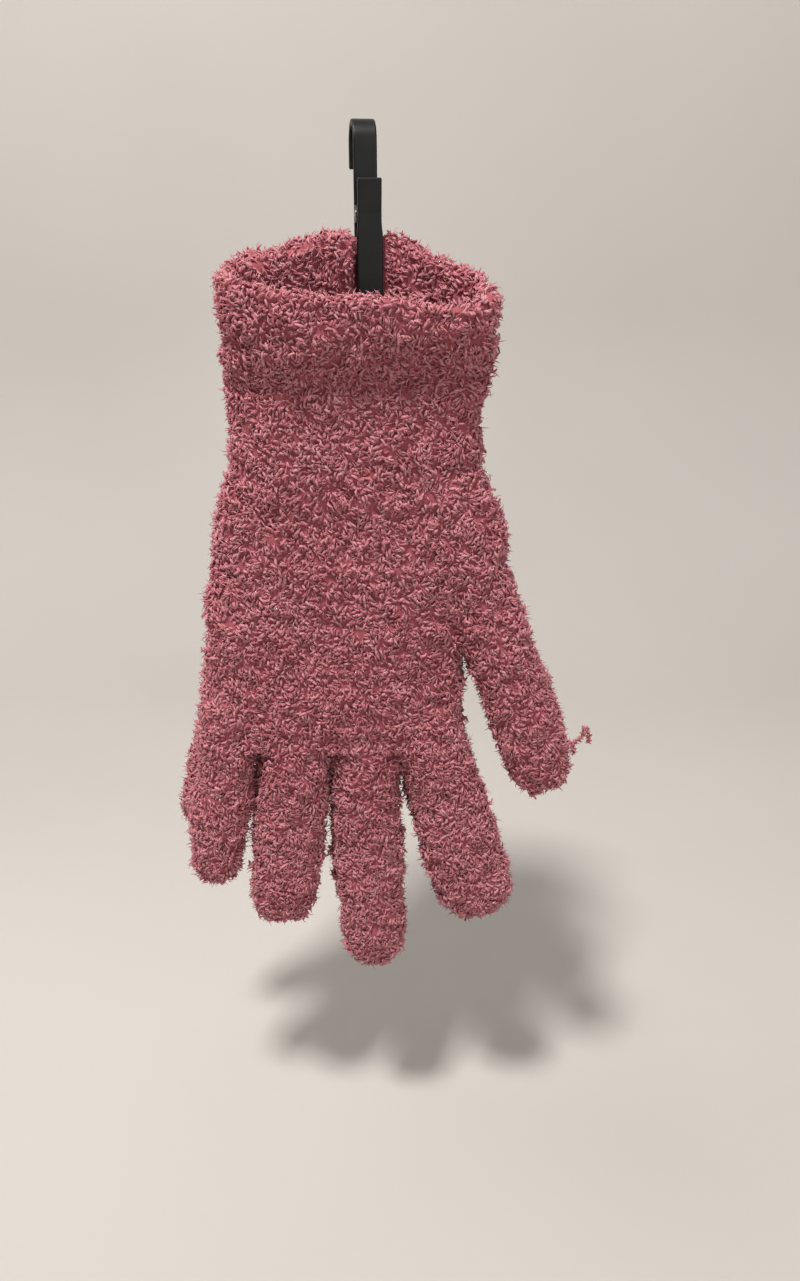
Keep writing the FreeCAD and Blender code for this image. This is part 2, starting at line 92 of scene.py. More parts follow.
def add_node(
    tree: bpy.types.NodeTree,
    kind: str,
    settings: dict[str, object] | None = None,
    values: dict[str | int, object] | None = None,
    links: dict[str | int, bpy.types.NodeSocket] | None = None,
) -> bpy.types.Node:
    """Adds a node with its settings, socket values and incoming links.

    Args:
        tree: The material's node tree.
        kind: Blender's type name of the node.
        settings: Attributes of the node.
        values: Default values by the input's name or place.
        links: Output sockets by the name or place of the input that each feeds.

    Returns:
        The new node.
    """
    node = tree.nodes.new(kind)
    for name, value in (settings or {}).items():
        setattr(node, name, value)
    for name, value in (values or {}).items():
        node.inputs[name].default_value = value
    for name, socket in (links or {}).items():
        tree.links.new(socket, node.inputs[name])
    return node


def blank_material(name: str) -> tuple[bpy.types.Material, bpy.types.NodeTree]:
    """A new material with an empty node tree.

    Args:
        name: The material's name.

    Returns:
        The material and its tree.
    """
    material = bpy.data.materials.new(name)
    material.use_nodes = True
    material.node_tree.nodes.clear()
    return material, material.node_tree


def finish_material(tree: bpy.types.NodeTree, shader: bpy.types.Node) -> None:
    """Leads a shader to the material's output.

    Args:
        tree: The material's node tree.
        shader: The last shader node.
    """
    add_node(tree, "ShaderNodeOutputMaterial", links={"Surface": shader.outputs["BSDF"]})


def fill_ramp(ramp: bpy.types.ColorRamp, stops: list[tuple[float, str]]) -> None:
    """Sets a colour ramp's stops.

    Args:
        ramp: The ramp to fill.
        stops: Places from 0 to 1 with their hex colours.
    """
    while len(ramp.elements) < len(stops):
        ramp.elements.new(1.0)
    for element, (place, code) in zip(ramp.elements, stops):
        element.position = place
        element.color = linear(code)


@dataclass(frozen=True)
class ChenilleYarn:
    """Brushed polyester chenille: matt, with a soft sheen where the pile is seen from its side.

    Each tuft has its own tone, soft patches run over the knit, and each tuft is darkest at its root, where
    light hardly gets in.
    """

    name: str = "brushed_polyester_chenille"
    deep: str = "AA6068"
    middle: str = "C47F88"
    pale: str = "C98F96"
    # root is painted shade: the colour at a tuft's root and on the ground between tufts, where light hardly
    # gets in.
    root: str = "944A54"
    roughness: float = 0.95
    sheen: float = 0.3
    sheen_tint: str = "EEC2C8"
    patch_mm: float = 24.0
    patch_swing: float = 0.12
    shade_reach: float = 0.5

    def material(self) -> bpy.types.Material:
        """Builds the yarn's material.

        Returns:
            The new material.
        """
        material, tree = blank_material(self.name)
        tone = add_node(tree, "ShaderNodeAttribute", {"attribute_name": "tone"})
        reach = add_node(tree, "ShaderNodeAttribute", {"attribute_name": "reach"})
        place = add_node(tree, "ShaderNodeTexCoord")
        patch = add_node(
            tree,
            "ShaderNodeTexNoise",
            values={"Scale": 1.0 / (self.patch_mm * MM), "Detail": 2.0, "Roughness": 0.5},
            links={"Vector": place.outputs["Object"]},
        )
        low, high = -self.patch_swing, self.patch_swing
        shift = add_node(
            tree,
            "ShaderNodeMapRange",
            values={"From Min": 0.3, "From Max": 0.7, "To Min": low, "To Max": high},
            links={"Value": patch.outputs["Fac"]},
        )
        mixed = add_node(
            tree,
            "ShaderNodeMath",
            {"operation": "ADD", "use_clamp": True},
            links={0: tone.outputs["Fac"], 1: shift.outputs["Result"]},
        )
        ramp = add_node(tree, "ShaderNodeValToRGB", links={"Fac": mixed.outputs[0]})
        fill_ramp(ramp.color_ramp, [(0.0, self.deep), (0.5, self.middle), (1.0, self.pale)])
        depth = add_node(
            tree,
            "ShaderNodeMapRange",
            {"interpolation_type": "SMOOTHSTEP"},
            {"From Max": self.shade_reach},
            {"Value": reach.outputs["Fac"]},
        )
        colour = add_node(
            tree,
            "ShaderNodeMix",
            {"data_type": "RGBA"},
            {MIX_LOW: linear(self.root)},
            {"Factor": depth.outputs["Result"], MIX_HIGH: ramp.outputs["Color"]},
        )
        shader = add_node(
            tree,
            "ShaderNodeBsdfPrincipled",
            values={
                "Roughness": self.roughness,
                "IOR": 1.5,
                "Specular IOR Level": 0.1,
                "Sheen Weight": self.sheen,
                "Sheen Roughness": 0.45,
                "Sheen Tint": linear(self.sheen_tint),
            },
            links={"Base Color": colour.outputs[MIX_OUT]},
        )
        finish_material(tree, shader)
        return material


@dataclass(frozen=True)
class MouldedPlastic:
    """Injection-moulded polypropylene, dyed black: half gloss, broken by a grain and by smears of handling.

    The real grain is about a tenth of a millimetre, too fine to show, so it is drawn three times as coarse.
    """

    name: str = "moulded_polypropylene_black"
    body: str = "0A0B0C"
    rubbed: str = "151617"
    roughness: float = 0.42
    grain_mm: float = 0.35
    smear_mm: float = 9.0

    def material(self) -> bpy.types.Material:
        """Builds the plastic's material.

        Returns:
            The new material.
        """
        material, tree = blank_material(self.name)
        place = add_node(tree, "ShaderNodeTexCoord")
        grain = add_node(
            tree,
            "ShaderNodeTexNoise",
            values={"Scale": 1.0 / (self.grain_mm * MM), "Detail": 3.0},
            links={"Vector": place.outputs["Object"]},
        )
        smear = add_node(
            tree,
            "ShaderNodeTexNoise",
            values={"Scale": 1.0 / (self.smear_mm * MM), "Detail": 4.0, "Distortion": 0.8},
            links={"Vector": place.outputs["Object"]},
        )
        ramp = add_node(tree, "ShaderNodeValToRGB", links={"Fac": smear.outputs["Fac"]})
        fill_ramp(ramp.color_ramp, [(0.42, self.body), (0.72, self.rubbed)])
        gloss = add_node(
            tree,
            "ShaderNodeMapRange",
            values={"To Min": self.roughness - 0.08, "To Max": self.roughness + 0.14},
            links={"Value": smear.outputs["Fac"]},
        )
        bump = add_node(
            tree,
            "ShaderNodeBump",
            values={"Strength": 0.12, "Distance": 0.05 * MM},
            links={"Height": grain.outputs["Fac"]},
        )
        shader = add_node(
            tree,
            "ShaderNodeBsdfPrincipled",
            values={"IOR": 1.49, "Specular IOR Level": 0.35},
            links={
                "Base Color": ramp.outputs["Color"],
                "Roughness": gloss.outputs["Result"],
                "Normal": bump.outputs["Normal"],
            },
        )
        finish_material(tree, shader)
        return material


@dataclass(frozen=True)
class DrawnSteel:
    """Zinc-plated spring wire and pin: bright grey metal, a little uneven from drawing and plating.

    The marks are drawn coarser than the real ones, which would be too fine to show.
    """

    name: str = "zinc_plated_steel_wire"
    body: str = "B4B6B8"
    dull: str = "8F9294"
    line_mm: float = 0.3

    def material(self) -> bpy.types.Material:
        """Builds the steel's material.

        Returns:
            The new material.
        """
        material, tree = blank_material(self.name)
        place = add_node(tree, "ShaderNodeTexCoord")
        lines = add_node(
            tree,
            "ShaderNodeTexNoise",
            values={"Scale": 1.0 / (self.line_mm * MM), "Detail": 2.0},
            links={"Vector": place.outputs["Object"]},
        )
        ramp = add_node(tree, "ShaderNodeValToRGB", links={"Fac": lines.outputs["Fac"]})
        fill_ramp(ramp.color_ramp, [(0.35, self.dull), (0.65, self.body)])
        gloss = add_node(
            tree,
            "ShaderNodeMapRange",
            values={"To Min": 0.25, "To Max": 0.45},
            links={"Value": lines.outputs["Fac"]},
        )
        shader = add_node(
            tree,
            "ShaderNodeBsdfPrincipled",
            values={"Metallic": 1.0},
            links={"Base Color": ramp.outputs["Color"], "Roughness": gloss.outputs["Result"]},
        )
        finish_material(tree, shader)
        return material


@dataclass(frozen=True)
class CoveredElastic:
    """Rubber thread wrapped in dyed polyester: a tight spiral of fine ends round each thread."""

    name: str = "polyester_covered_elastic"
    body: str = "A8646C"
    groove: str = "7A3F47"
    wrap_mm: float = 0.5

    def material(self) -> bpy.types.Material:
        """Builds the elastic's material.

        Returns:
            The new material.
        """
        material, tree = blank_material(self.name)
        place = add_node(tree, "ShaderNodeTexCoord")
        wrap = add_node(
            tree,
            "ShaderNodeTexWave",
            {"bands_direction": "DIAGONAL"},
            {"Scale": WAVE_PITCH / (self.wrap_mm * MM), "Distortion": 0.6, "Detail": 1.0},
            {"Vector": place.outputs["Object"]},
        )
        ramp = add_node(tree, "ShaderNodeValToRGB", links={"Fac": wrap.outputs["Fac"]})
        fill_ramp(ramp.color_ramp, [(0.1, self.groove), (0.7, self.body)])
        bump = add_node(
            tree,
            "ShaderNodeBump",
            values={"Strength": 0.5, "Distance": 0.1 * MM},
            links={"Height": wrap.outputs["Fac"]},
        )
        shader = add_node(
            tree,
            "ShaderNodeBsdfPrincipled",
            values={"Roughness": 0.75, "Sheen Weight": 0.2},
            links={"Base Color": ramp.outputs["Color"], "Normal": bump.outputs["Normal"]},
        )
        finish_material(tree, shader)
        return material


@dataclass(frozen=True)
class MattPaper:
    """Matt studio paper: an even tone with a trace of fibre clouding."""

    name: str
    tone: str
    cloud: str

    def material(self) -> bpy.types.Material:
        """Builds the paper's material.

        Returns:
            The new material.
        """
        material, tree = blank_material(self.name)
        place = add_node(tree, "ShaderNodeTexCoord")
        noise = add_node(
            tree,
            "ShaderNodeTexNoise",
            values={"Scale": 3.0, "Detail": 5.0},
            links={"Vector": place.outputs["Object"]},
        )
        ramp = add_node(tree, "ShaderNodeValToRGB", links={"Fac": noise.outputs["Fac"]})
        fill_ramp(ramp.color_ramp, [(0.3, self.cloud), (0.7, self.tone)])
        shader = add_node(
            tree,
            "ShaderNodeBsdfPrincipled",
            values={"Roughness": 0.95, "Specular IOR Level": 0.1},
            links={"Base Color": ramp.outputs["Color"]},
        )
        finish_material(tree, shader)
        return material


def soft_waves(points: Array, size: float, seed: int) -> Array:
    """Soft bumps through space: a sum of waves in random directions.

    Args:
        points: Places, one row each.
        size: The usual distance from bump to bump, in the points' unit.
        seed: Picks the pattern.

    Returns:
        One value per place, mostly between -1 and 1.
    """
    waves, usual_height = 8, 3.2
    rng = np.random.default_rng(seed)
    total = np.zeros(len(points))
    for _ in range(waves):
        way = rng.normal(size=3)
        way *= 2 * math.pi / (np.linalg.norm(way) * size * rng.uniform(0.7, 1.5))
        total += np.sin(points @ way + rng.uniform(0, 2 * math.pi))
    return total / usual_height


def smooth_step(low: float, high: float, value: Array) -> Array:
    """Rises smoothly from 0 to 1.

    Args:
        low: Where it leaves 0.
        high: Where it reaches 1.
        value: The places asked for.

    Returns:
        One share per place.
    """
    share = np.clip((value - low) / (high - low), 0, 1)
    return share * share * (3 - 2 * share)


def flow_through(stations: list[tuple[float, ...]], places: Array) -> Array:
    """Runs a smooth line through stations, without overshoot.

    Args:
        stations: Rows of a place and its values, in rising order of place.
        places: Where values are wanted.

    Returns:
        One row of values per place.
    """
    table = np.array(stations, float)
    known, values = table[:, 0], table[:, 1:]
    run = np.diff(known)[:, None]
    slope = np.diff(values, axis=0) / run
    lean = np.zeros_like(values)
    product = slope[:-1] * slope[1:]
    total = slope[:-1] + slope[1:]
    lean[1:-1] = np.where(product > 0, 2 * product / np.where(total == 0, 1, total), 0)
    lean[0], lean[-1] = slope[0], slope[-1]
    left = np.clip(np.searchsorted(known, places) - 1, 0, len(known) - 2)
    width = run[left]
    t = np.clip((places - known[left])[:, None] / width, 0, 1)
    return (
        values[left] * (1 + 2 * t) * (1 - t) ** 2
        + lean[left] * width * t * (1 - t) ** 2
        + values[left + 1] * t * t * (3 - 2 * t)
        + lean[left + 1] * width * t * t * (t - 1)
    )


def unit(rows: Array) -> Array:
    """Each row scaled to length 1."""
    return rows / np.maximum(np.linalg.norm(rows, axis=1, keepdims=True), 1e-9)


@dataclass(frozen=True)
class Pile:
    """How one kind of tuft grows out of the knit, in millimetres and degrees.

    A pair of values is a range to draw from. A tuft is a bent bundle of rings, thickest where its shape
    says, with a point as its tip; stations are the rings' shares of its length.
    """

    length: tuple[float, float]
    radius: tuple[float, float]
    rise: tuple[float, float]
    curl: tuple[float, float]
    twist: float
    droop: float
    sink: float
    shape: tuple[float, ...]
    stations: tuple[float, ...]
    flatness: float = 0.8
    crouch: float = 0.9

    def tuft_faces(self) -> tuple[Array, Array]:
        """The faces of one tuft, numbered over its rings and then its tip.

        Returns:
            Its four-cornered sides and its three-cornered cap.
        """
        rings = len(self.shape)
        sides: list[tuple[int, ...]] = []
        for step in range(rings - 1):
            for corner in range(TUFT_SIDES):
                near = step * TUFT_SIDES + corner
                far = step * TUFT_SIDES + (corner + 1) % TUFT_SIDES
                sides.append((near, far, far + TUFT_SIDES, near + TUFT_SIDES))
        last, tip = (rings - 1) * TUFT_SIDES, rings * TUFT_SIDES
        cap = [(last + corner, last + (corner + 1) % TUFT_SIDES, tip) for corner in range(TUFT_SIDES)]
        return np.array(sides), np.array(cap)

    def grow(self, cloth: "Patch", rng: np.random.Generator) -> "Shag":
        """Grows one tuft at each place of a patch.

        Args:
            cloth: Places, normals and directions of the knit.
            rng: The source of all chance.

        Returns:
            The tufts' geometry.
        """
        count = len(cloth.spots)
        steps = len(self.shape)
        cross = unit(np.cross(cloth.normals, cloth.downs))
        down = np.cross(cross, cloth.normals)
        heading = rng.uniform(0, 2 * math.pi, count)
        way = np.cos(heading)[:, None] * down + np.sin(heading)[:, None] * cross
        way += self.droop * down + cloth.combs
        way = unit(way - np.sum(way * cloth.normals, axis=1, keepdims=True) * cloth.normals)
        length = rng.uniform(*self.length, count) * cloth.height
        width = rng.uniform(*self.radius, count)
        rise = np.radians(rng.uniform(*self.rise, count)) + np.maximum(1 - cloth.height, 0) * self.crouch
        curl = np.radians(rng.uniform(*self.curl, count))
        twist = np.radians(rng.uniform(-self.twist, self.twist, count))
        point = cloth.spots - cloth.normals * self.sink
        rings: list[Array] = []
        for step in range(steps):
            share = (self.stations[step] + self.stations[step + 1]) / 2
            tilt = (rise + (curl - rise) * share)[:, None]
            turn = (twist * (share - 0.5))[:, None]
            level = np.cos(turn) * way + np.sin(turn) * np.cross(cloth.normals, way)
            run = np.cos(tilt) * cloth.normals + np.sin(tilt) * level
            # The bit of down keeps this from failing where a tuft stands straight up.
            wide = unit(np.cross(run, cloth.normals + 0.01 * down))
            high = np.cross(wide, run)
            for corner in range(TUFT_SIDES):
                angle = 2 * math.pi * corner / TUFT_SIDES + 0.5 * math.pi
                offset = math.cos(angle) * wide + self.flatness * math.sin(angle) * high
                rings.append(point + offset * (width * self.shape[step])[:, None])
            stride = self.stations[step + 1] - self.stations[step]
            point = point + run * (length * stride)[:, None]
        verts = np.stack([*rings, point], axis=1)
        per = verts.shape[1]
        sides, cap = self.tuft_faces()
        base = (np.arange(count) * per)[:, None, None]
        reach = np.array([s for s in self.stations[:steps] for _ in range(TUFT_SIDES)] + [1.0])
        return Shag(
            verts.reshape(-1, 3),
            (base + sides[None]).reshape(-1, 4),
            (base + cap[None]).reshape(-1, 3),
            np.repeat(rng.random(count), per),
            np.tile(reach, count),
        )


@dataclass
class Patch:
    """Places on the knit that pile grows from, with the height and the lie of the pile at each."""

    spots: Array
    normals: Array
    downs: Array
    height: Array
    combs: Array

    def picked(self, which: Array) -> "Patch":
        """The patch with only some of its places."""
        rows = (self.spots, self.normals, self.downs, self.height, self.combs)
        return Patch(*(row[which] for row in rows))


@dataclass
class Shag:
    """Loose geometry with a tone and a reach at each point."""

    points: Array
    quads: Array
    triangles: Array
    tone: Array
    reach: Array


# The real pile is a brush of fibres too fine to show. It is drawn as curled tufts of about 0.9 mm, which
# stand a millimetre apart, and as thinner loose ends between them. The frizz is that of the loose yarn.
CURLS = Pile(
    length=(2.1, 3.3),
    radius=(0.38, 0.55),
    rise=(5, 40),
    curl=(95, 185),
    twist=110,
    droop=0.2,
    sink=0.3,
    shape=(0.75, 1.05, 0.85),
    stations=(0.0, 0.5, 0.9, 1.0),
)
WISPS = Pile(
    length=(2.2, 3.8),
    radius=(0.16, 0.26),
    rise=(0, 40),
    curl=(40, 110),
    twist=60,
    droop=0.1,
    sink=0.2,
    shape=(1.0, 0.8),
    stations=(0.0, 0.6, 1.0),
)
FRIZZ = Pile(
    length=(0.9, 1.7),
    radius=(0.2, 0.34),
    rise=(5, 50),
    curl=(60, 140),
    twist=80,
    droop=0.0,
    sink=0.1,
    shape=(0.9, 0.9),
    stations=(0.0, 0.7, 1.0),
)


@dataclass
class KnitMesh:
    """Collects the backing and the pile of one piece and turns them into a mesh object."""

    name: str
    parts: list[Shag] = field(default_factory=list)

    def add_backing(self, points: Array, quads: Array) -> None:
        """Adds the knitted ground that the pile grows from, painted with the dark root colour as shade
        between the tufts.

        Args:
            points: Its corners.
            quads: Its four-cornered faces.
        """
        tone = 0.35 + 0.15 * soft_waves(points, 3.0, 5)
        reach = np.full(len(points), 0.12)
        self.parts.append(Shag(points, quads, np.zeros((0, 3), int), tone, reach))

    def add_pile(self, pile: Pile, cloth: Patch, rng: np.random.Generator) -> None:
        """Grows pile over a patch of the knit."""
        self.parts.append(pile.grow(cloth, rng))

    def build(self, place: "Hanging", material: bpy.types.Material) -> bpy.types.Object:
        """Makes the object in the part's frame.

        Args:
            place: Where the glove hangs.
            material: The yarn's material.

        Returns:
            The mesh object.
        """
        offset = 0
        quads, triangles = [], []
        for part in self.parts:
            quads.append(part.quads + offset)
            triangles.append(part.triangles + offset)
            offset += len(part.points)
        points = place.hang(np.concatenate([p.points for p in self.parts]))
        four = np.concatenate(quads).astype(np.int32)
        three = np.concatenate(triangles).astype(np.int32)
        if place.mirrored:
            four, three = four[:, ::-1], three[:, ::-1]
        mesh = bpy.data.meshes.new(self.name)
        mesh.vertices.add(len(points))
        mesh.vertices.foreach_set("co", points.astype(np.float32).ravel())
        mesh.loops.add(four.size + three.size)
        mesh.loops.foreach_set("vertex_index", np.concatenate([four.ravel(), three.ravel()]))
        mesh.polygons.add(len(four) + len(three))
        starts = np.concatenate(
            [np.arange(len(four)) * 4, four.size + np.arange(len(three)) * 3]
        ).astype(np.int32)
        mesh.polygons.foreach_set("loop_start", starts)
        mesh.update(calc_edges=True)
        mesh.polygons.foreach_set("use_smooth", np.ones(len(mesh.polygons), bool))
        for label in ("tone", "reach"):
            attribute = mesh.attributes.new(label, "FLOAT", "POINT")
            values = np.concatenate([getattr(p, label) for p in self.parts])
            attribute.data.foreach_set("value", values.astype(np.float32))
        mesh.materials.append(material)
        thing = bpy.data.objects.new(self.name, mesh)
        bpy.context.collection.objects.link(thing)
        LOG.info("%s: %d triangles", self.name, 2 * len(four) + len(three))
        return thing


@dataclass(frozen=True)
class Hanging:
    """Where a glove hangs: its side of the plane of the pinch, its lean in degrees and its lift."""

    side: Side
    lean: float
    lift: float
    pinch_y: float = -9.03
    gap: float = 0.3
    pivot_z: float = -23.5

    @property
    def mirrored(self) -> bool:
        """Whether the glove is turned over, which flips its faces."""
        return self.side is Side.FRONT

    def hang(self, points: Array) -> Array:
        """Takes points of the glove's own frame to the part's frame.

        Args:
            points: Rows of x, q and z in millimetres.

        Returns:
            Rows of x, y and z in metres.
        """
        x, q, z = points.T
        turn = math.radians(self.lean)
        up = z - self.pivot_z
        moved = (
            x * math.cos(turn) + up * math.sin(turn),
            self.pinch_y + self.side.value * (self.gap + q),
            self.pivot_z - x * math.sin(turn) + up * math.cos(turn) + self.lift,
        )
        return np.stack(moved, axis=1) * MM


@dataclass(frozen=True)
class Digit:
    """A finger or thumb, in millimetres and degrees.

    The seam is how far down its root's middle lies and place how far across. It is base wide there, belly
    wide half-way and tip wide before its dome, and from thick to thin deep. Front is where its palm side
    lies. Inside the hand it goes on for root, at root_width. Blunt is 2 for a round tip and more for a
    squarer one.
    """

    name: str
    seam: float
    lean: float
    length: float
    base: float
    belly: float
    tip: float
    thick: float
    thin: float
    dome: float
    place: float = 0.0
    root: float = 18.0
    root_width: float = 0.0
    front: float = 21.0
    blunt: float = 2.3

    @property
    def along(self) -> Array:
        """The way from the seam to the tip."""
        turn = math.radians(self.lean)
        return np.array([math.sin(turn), 0.0, -math.cos(turn)])

    @property
    def across(self) -> Array:
        """The way over the digit's width."""
        turn = math.radians(self.lean)
        return np.array([math.cos(turn), 0.0, math.sin(turn)])

    @property
    def seam_centre(self) -> Array:
        """The middle of the seam, half-way from back to palm."""
        return np.array([self.place, self.front - self.thick / 2, -self.seam])

    def measure(self, points: Array) -> tuple[Array, Array]:
        """How far points lie along the digit from its seam, and off its middle line."""
        offset = points - self.seam_centre
        return offset @ self.along, offset @ self.across

    def sections(self, inset: float) -> list[tuple[Array, float, float]]:
        """Sections from the root to the tip.

        Args:
            inset: How far the knit's ground lies inside the digit's outline.

        Returns:
            Centre, half width and half depth of each section.
        """
        straight = self.length - self.dome
        root_width = self.root_width or self.base
        stations = [
            (-self.root, root_width, self.thick - 2.5),
            (-self.root * 0.4, root_width + (self.base - root_width) * 0.6, self.thick),
            (0.0, self.base, self.thick),
            (straight * 0.55, self.belly, (self.thick + self.thin) / 2),
            (straight, self.tip, self.thin),
        ]
        made = []
        shaft = np.linspace(-self.root, straight, 26)
        for s, (width, depth) in zip(shaft, flow_through(stations, shaft)):
            made.append((s, width, depth))
        for angle in np.linspace(0, math.pi / 2, 9)[1:-1]:
            rise = math.sin(angle) ** (2 / self.blunt)
            share = math.cos(angle) ** (2 / self.blunt)
            made.append((straight + self.dome * rise, self.tip * share, self.thin * share))
        result = []
        for s, width, depth in made:
            s = min(s, self.length - inset)
            middle = self.front - (self.thin if s > straight else depth) / 2
            centre = np.array([self.place, middle, -self.seam]) + self.along * s
            result.append((centre, max(width / 2 - inset, 0.6), max(depth / 2 - inset, 0.5)))
        return result


def ring(centre: Array, across: Array, half_width: float, half_depth: float, power: float) -> Array:
    """Points round a section, RING_POINTS of them.

    Args:
        centre: Its middle.
        across: The way of its width.
        half_width: Half its width.
        half_depth: Half its depth.
        power: 2 for an ellipse, more for a squarer section.

    Returns:
        One row per point.
    """
    angle = np.linspace(0, 2 * math.pi, RING_POINTS, endpoint=False)
    wide = np.sign(np.cos(angle)) * np.abs(np.cos(angle)) ** (2 / power) * half_width
    deep = np.sign(np.sin(angle)) * np.abs(np.sin(angle)) ** (2 / power) * half_depth
    return centre + wide[:, None] * across + deep[:, None] * np.array([0.0, 1.0, 0.0])


def closed_tube(rings: list[Array], start: int) -> tuple[Array, list[tuple[int, ...]]]:
    """A closed tube through rings of equal count.

    Args:
        rings: The rings in order.
        start: The number of the first new point.

    Returns:
        Points and faces.
    """
    count = len(rings[0])
    faces: list[tuple[int, ...]] = []
    for row in range(len(rings) - 1):
        for spot in range(count):
            near, far = row * count + spot, row * count + (spot + 1) % count
            faces.append((start + near, start + far, start + far + count, start + near + count))
    faces.append(tuple(start + i for i in range(count))[::-1])
    last = (len(rings) - 1) * count
    faces.append(tuple(start + last + i for i in range(count)))
    return np.concatenate(rings), faces


def merged_skin(tubes: list[list[Array]], cell: float, rounds: int) -> tuple[Array, Array]:
    """One skin round overlapping tubes, with softened creases where they meet.

    Args:
        tubes: The rings of each tube.
        cell: The size of its faces.
        rounds: How often it is smoothed.

    Returns:
        Points and four-cornered faces.
    """
    points: list[Array] = []
    faces: list[tuple[int, ...]] = []
    start = 0
    for rings in tubes:
        made, sides = closed_tube(rings, start)
        points.append(made)
        faces += sides
        start += len(made)
    mesh = bpy.data.meshes.new("rough_skin")
    mesh.from_pydata(np.concatenate(points).tolist(), [], faces)
    thing = bpy.data.objects.new("rough_skin", mesh)
    bpy.context.collection.objects.link(thing)
    remesh = thing.modifiers.new("remesh", "REMESH")
    remesh.mode = "VOXEL"
    remesh.voxel_size = cell
    soften = thing.modifiers.new("soften", "SMOOTH")
    soften.factor = 0.5
    soften.iterations = rounds
    evaluated = thing.evaluated_get(bpy.context.evaluated_depsgraph_get())
    skin = evaluated.to_mesh()
    found = np.zeros(len(skin.vertices) * 3, np.float32)
    skin.vertices.foreach_get("co", found)
    corners = [tuple(p.vertices) for p in skin.polygons]
    quads = np.array([c if len(c) == 4 else (*c, c[-1]) for c in corners])
    evaluated.to_mesh_clear()
    bpy.data.objects.remove(thing)
    bpy.data.meshes.remove(mesh)
    return found.reshape(-1, 3).astype(float), quads


def face_frames(points: Array, quads: Array) -> tuple[Array, Array]:
    """The middle and the outward normal of each face.

    Args:
        points: The skin's points.
        quads: Its faces.

    Returns:
        Middles and normals, one row per face.
    """
    corners = points[quads]
    middle = corners.mean(axis=1)
    normal = unit(np.cross(corners[:, 2] - corners[:, 0], corners[:, 3] - corners[:, 1]))
    return middle, normal


def only_faces(points: Array, quads: Array, keep: Array) -> tuple[Array, Array]:
    """The part of a skin that some of its faces make.

    Args:
        points: The skin's points.
        quads: Its faces.
        keep: Which faces to keep.

    Returns:
        The points that are left and the faces, numbered anew.
    """
    chosen = quads[keep]
    used, numbers = np.unique(chosen, return_inverse=True)
    return points[used], numbers.reshape(chosen.shape)


